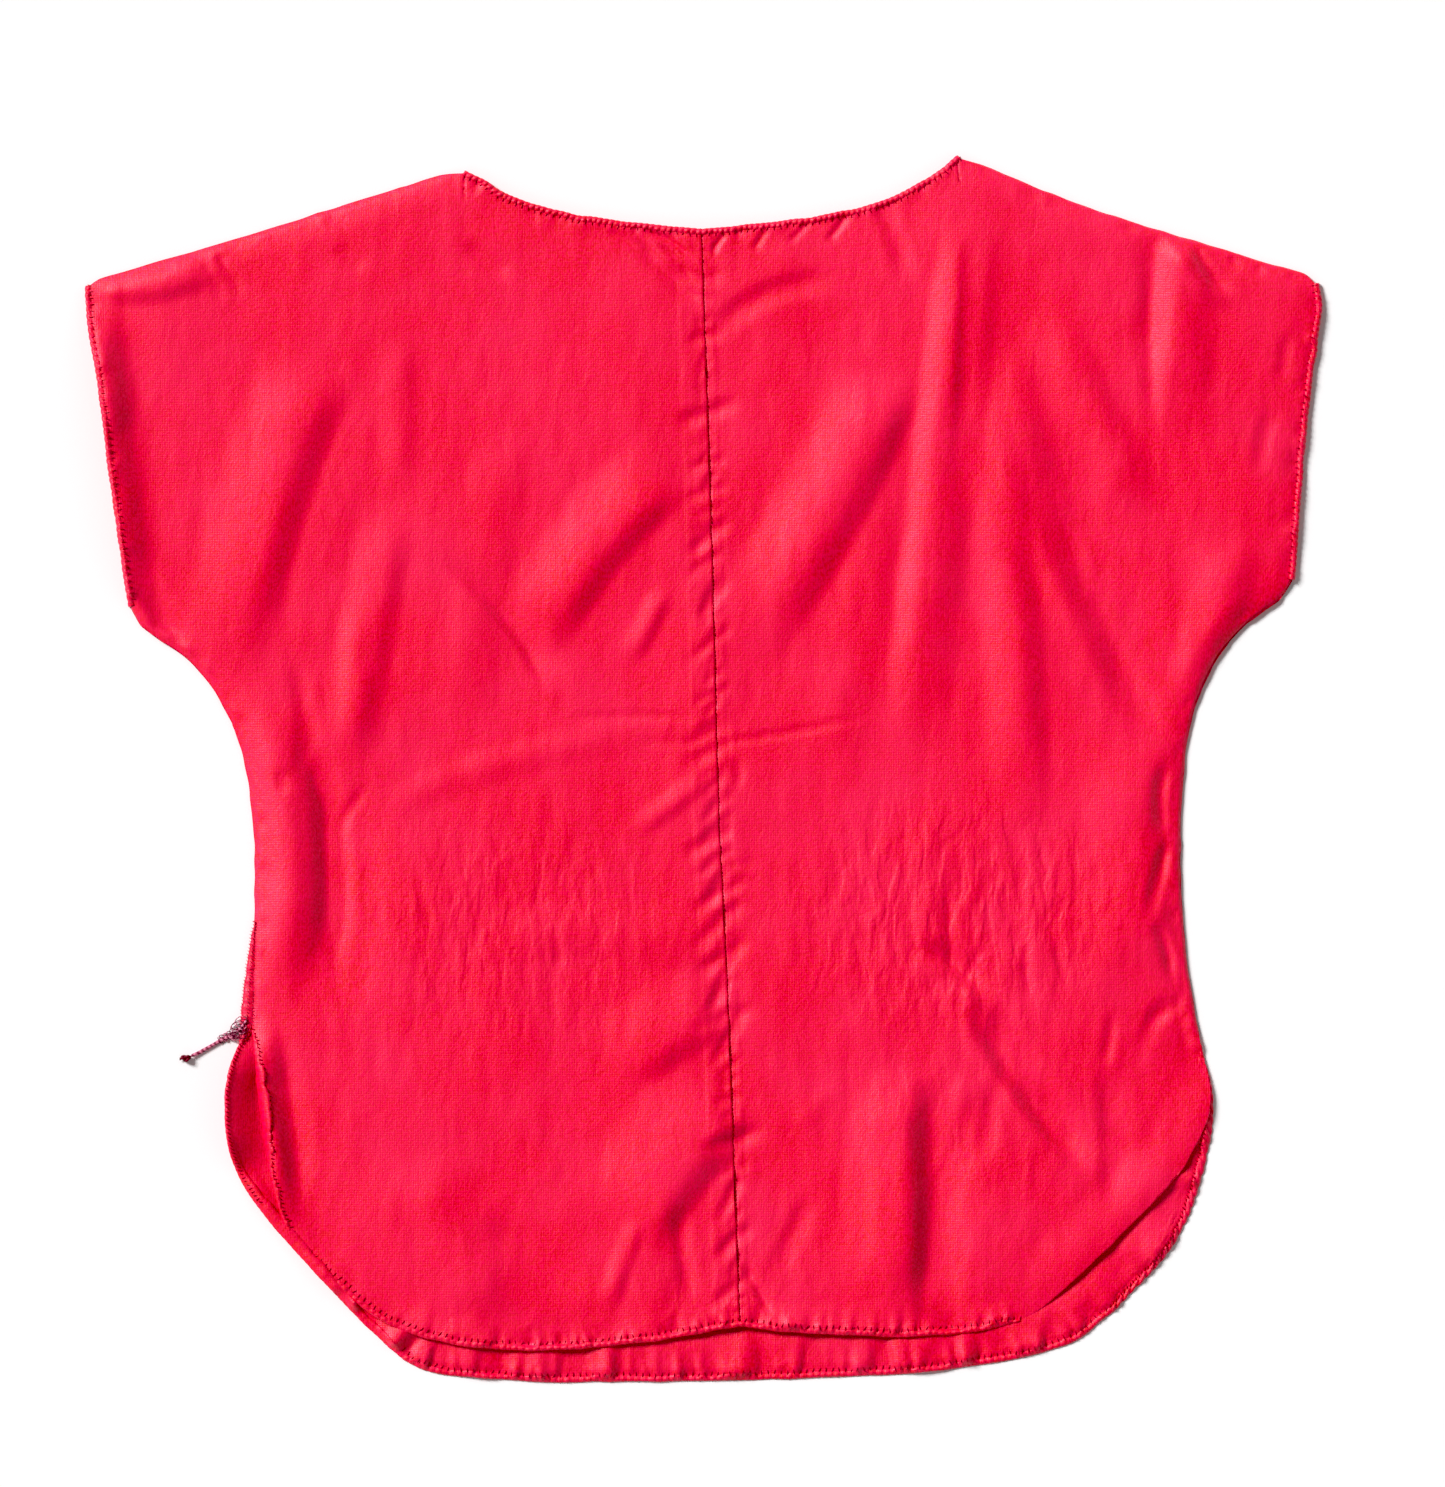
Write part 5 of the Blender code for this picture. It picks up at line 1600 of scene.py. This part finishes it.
def light_the_table():
    """Even light from low all round, and one broad light from the upper left."""
    world = bpy.data.worlds.new("even_light")
    world.use_nodes = True
    sky = world.node_tree
    direction = add_node(sky, "ShaderNodeTexCoord").outputs["Generated"]
    height = add_node(sky, "ShaderNodeSeparateXYZ", links={0: direction})
    lowest, highest = FILL_HEIGHTS
    strength = add_node(
        sky,
        "ShaderNodeMapRange",
        {"interpolation_type": "SMOOTHSTEP"},
        {"From Min": lowest, "From Max": highest, "To Min": FILL_LOW, "To Max": FILL_OVERHEAD},
        {"Value": height.outputs["Z"]},
    )
    sky.nodes["Background"].inputs["Color"].default_value = (1, 1, 1, 1)
    sky.links.new(strength.outputs[0], sky.nodes["Background"].inputs["Strength"])
    bpy.context.scene.world = world
    view = bpy.context.scene.view_settings
    view.view_transform = "Standard"
    view.use_curve_mapping = True
    view.curve_mapping.black_level = (BLACK_POINT,) * 3
    view.curve_mapping.update()
    data = bpy.data.lights.new("window_light", "SUN")
    data.angle = math.radians(KEY_SPREAD)
    data.energy = KEY_STRENGTH
    lamp = put_object("window_light", data)
    lamp.location = KEY_PLACE
    lamp.rotation_euler = (-Vector(KEY_PLACE)).to_track_quat("-Z", "Y").to_euler()


def lay_the_floor():
    """The pale surface just under the top."""
    far = FLOOR_HALF / MM
    corners = [(x * far, y * far, FLOOR_LEVEL) for x, y in ((-1, -1), (1, -1), (1, 1), (-1, 1))]
    floor = put_mesh("pale_surface", corners, [(0, 1, 2, 3)], painted_floor())


def settle(piece, slot, *nodes):
    """The piece rides with the top and stands for its solids."""
    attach(piece, "root")
    if nodes:
        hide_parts(*nodes)


look_down()
# The pale chain thread, its pink partly painted highlight of the maroon threads. It makes the tail cord, the
# chain and every other loop.
CHAIN_AND_PAINTED_HIGHLIGHT = spun_thread("overlock_chain_with_painted_highlight", CHAIN_PALE_PAINTED_HIGHLIGHT, CHAIN_DARK, 0.6, 1.7)
CHAIN_SHADE = spun_thread("overlock_looper_thread_maroon", LOOPER_MAROON, LOOPER_DARK, 0.6, 1.7)
tail, tail_length = tail_curve(CHAIN_AND_PAINTED_HIGHLIGHT), TAIL_RUN[-1]
light_the_table()
lay_the_floor()

CLOTH = woven_coral()
# The hem thread: its own red, darkened with painted shade of the stitch dimples.
SEWING_AND_PAINTED_SHADE = spun_thread("sewing_thread_with_painted_dimple_shade", HEM_THREAD_AND_PAINTED_SHADE, HEM_TWIST_DARK_AND_PAINTED_SHADE, 0.6, 0.5)
SEAM_THREAD = spun_thread("seam_thread_deep_red", SEAM_RED, SEAM_RED_DARK, 0.65, 0.5)
OVERLOCK = spun_thread("overlock_thread_rose", OVERLOCK_ROSE, OVERLOCK_DARK, 0.6, 0.6)
KNOT_THREAD = spun_thread("knotted_thread_deep_red", KNOT_RED, KNOT_DARK, 0.6, 0.6)
tree = stitch_tree()

left_piece = front_left(CLOTH)
right_piece = front_right(CLOTH)
back_piece = back(CLOTH)

front_hem, front_track = hem_roll(
    "front_hem_roll", (LEFT_FRONT_TAIL, LEFT_FRONT_HEM, RIGHT_FRONT_HEM), front_height, CLOTH, frayed=110.0
)
tail_hem, tail_track = hem_roll("tail", (LEFT_BACK_TAIL, BACK_HEM), back_height, CLOTH)
rope_hem, rope_track = hem_roll(
    "rope", (RIGHT_BACK_TAIL,), back_height, CLOTH, pitch=5.6, slant=1.1, pinch=1.2
)
back_hem = join("back_hem_roll", [tail_hem, rope_hem])
rolls, tracks = {}, {}
for opening, edges, pitch, slant, pinch in (
    ("neck", (RIGHT_NECK, LEFT_NECK), 3.0, 0.4, 0.75),
    ("sleeve_left", (LEFT_SLEEVE,), 3.6, 0.9, 1.05),
    ("sleeve_right", (RIGHT_SLEEVE,), 3.4, 1.0, 0.95),
):
    upper, upper_track = hem_roll("upper", edges, front_height, CLOTH, pitch, slant, pinch)
    lower, lower_track = hem_roll("lower", edges, back_height, CLOTH, pitch, slant, pinch)
    rolls[opening] = join(opening + "_hem_roll", [upper, lower])
    tracks[opening] = (upper_track, lower_track)

hem_lines = [
    hem_stitch_line(front_track, front_height, 1.08, (0.2, 1.0)),
    hem_stitch_line(tail_track, back_height, 1.08, (0.35, 1.0)),
]
for upper_track, lower_track in (tracks["neck"], tracks["sleeve_left"], tracks["sleeve_right"]):
    hem_lines.append(hem_stitch_line(upper_track, front_height, 0.9))
    hem_lines.append(hem_stitch_line(lower_track, back_height, 0.9))
# These stitches carry the painted shade of the hem's stitch dimples in their colour.
hem_thread = stitches("hem_stitches", hem_lines, tree, SEWING_AND_PAINTED_SHADE, *HEM_STITCH)
whip_lines = [
    hem_stitch_line(tail_track, back_height, 0.45, (0.01, 0.17), WHIP_LEVEL),
    hem_stitch_line(rope_track, back_height, 1.0),
    hem_stitch_line(front_track, front_height, 0.9, (0.0, 0.2)),
]
whip_thread = stitches("whip_stitches", whip_lines, tree, SEAM_THREAD, *WHIP_STITCH)

# The stitches that show in the seam's groove: they wander from side to side of it.
seam_at = np.arange(1.0, run_of(SEAM_LINE)[-1] - 0.5, 0.9)
seam_points = places_on(SEAM_LINE, seam_at)[0]
seam_level = front_height(seam_points[:, 0] + 0.4, seam_points[:, 1]) + 0.42
seam_points[:, 0] += 0.34 * ripple_along(seam_at, 4.2, 700)
seam_path = np.column_stack((seam_points, seam_level))
seam_thread = stitches("centre_seam_stitches", [seam_path], tree, SEAM_THREAD, *SEAM_STITCH)

strip, strip_thread = seam_strip(CLOTH, OVERLOCK, tree)
tangle, dark_tangle = thread_tangle(CHAIN_AND_PAINTED_HIGHLIGHT, CHAIN_SHADE)
tied = knot(KNOT_THREAD)

FABRIC, TRIM = (material["slot"] for material in frame["record"]["materials"])
settle(back_piece, FABRIC, "back_panel")
settle(left_piece, FABRIC, "front_left_panel")
settle(right_piece, FABRIC, "front_right_panel", "corner_turned_under")
settle(front_hem, FABRIC, "front_hem")
settle(back_hem, FABRIC, "back_hem")
settle(rolls["neck"], FABRIC, "neck_hem")
settle(rolls["sleeve_left"], FABRIC, "sleeve_hem_left")
settle(rolls["sleeve_right"], FABRIC, "sleeve_hem_right")
settle(strip, FABRIC, "seam_edge_left")
settle(hem_thread, FABRIC)
settle(whip_thread, FABRIC)
settle(seam_thread, FABRIC)
settle(strip_thread, TRIM)
settle(tangle, TRIM)
settle(dark_tangle, TRIM)
settle(tied, TRIM, "tail_knot")
settle(tail, TRIM, "thread_tail")
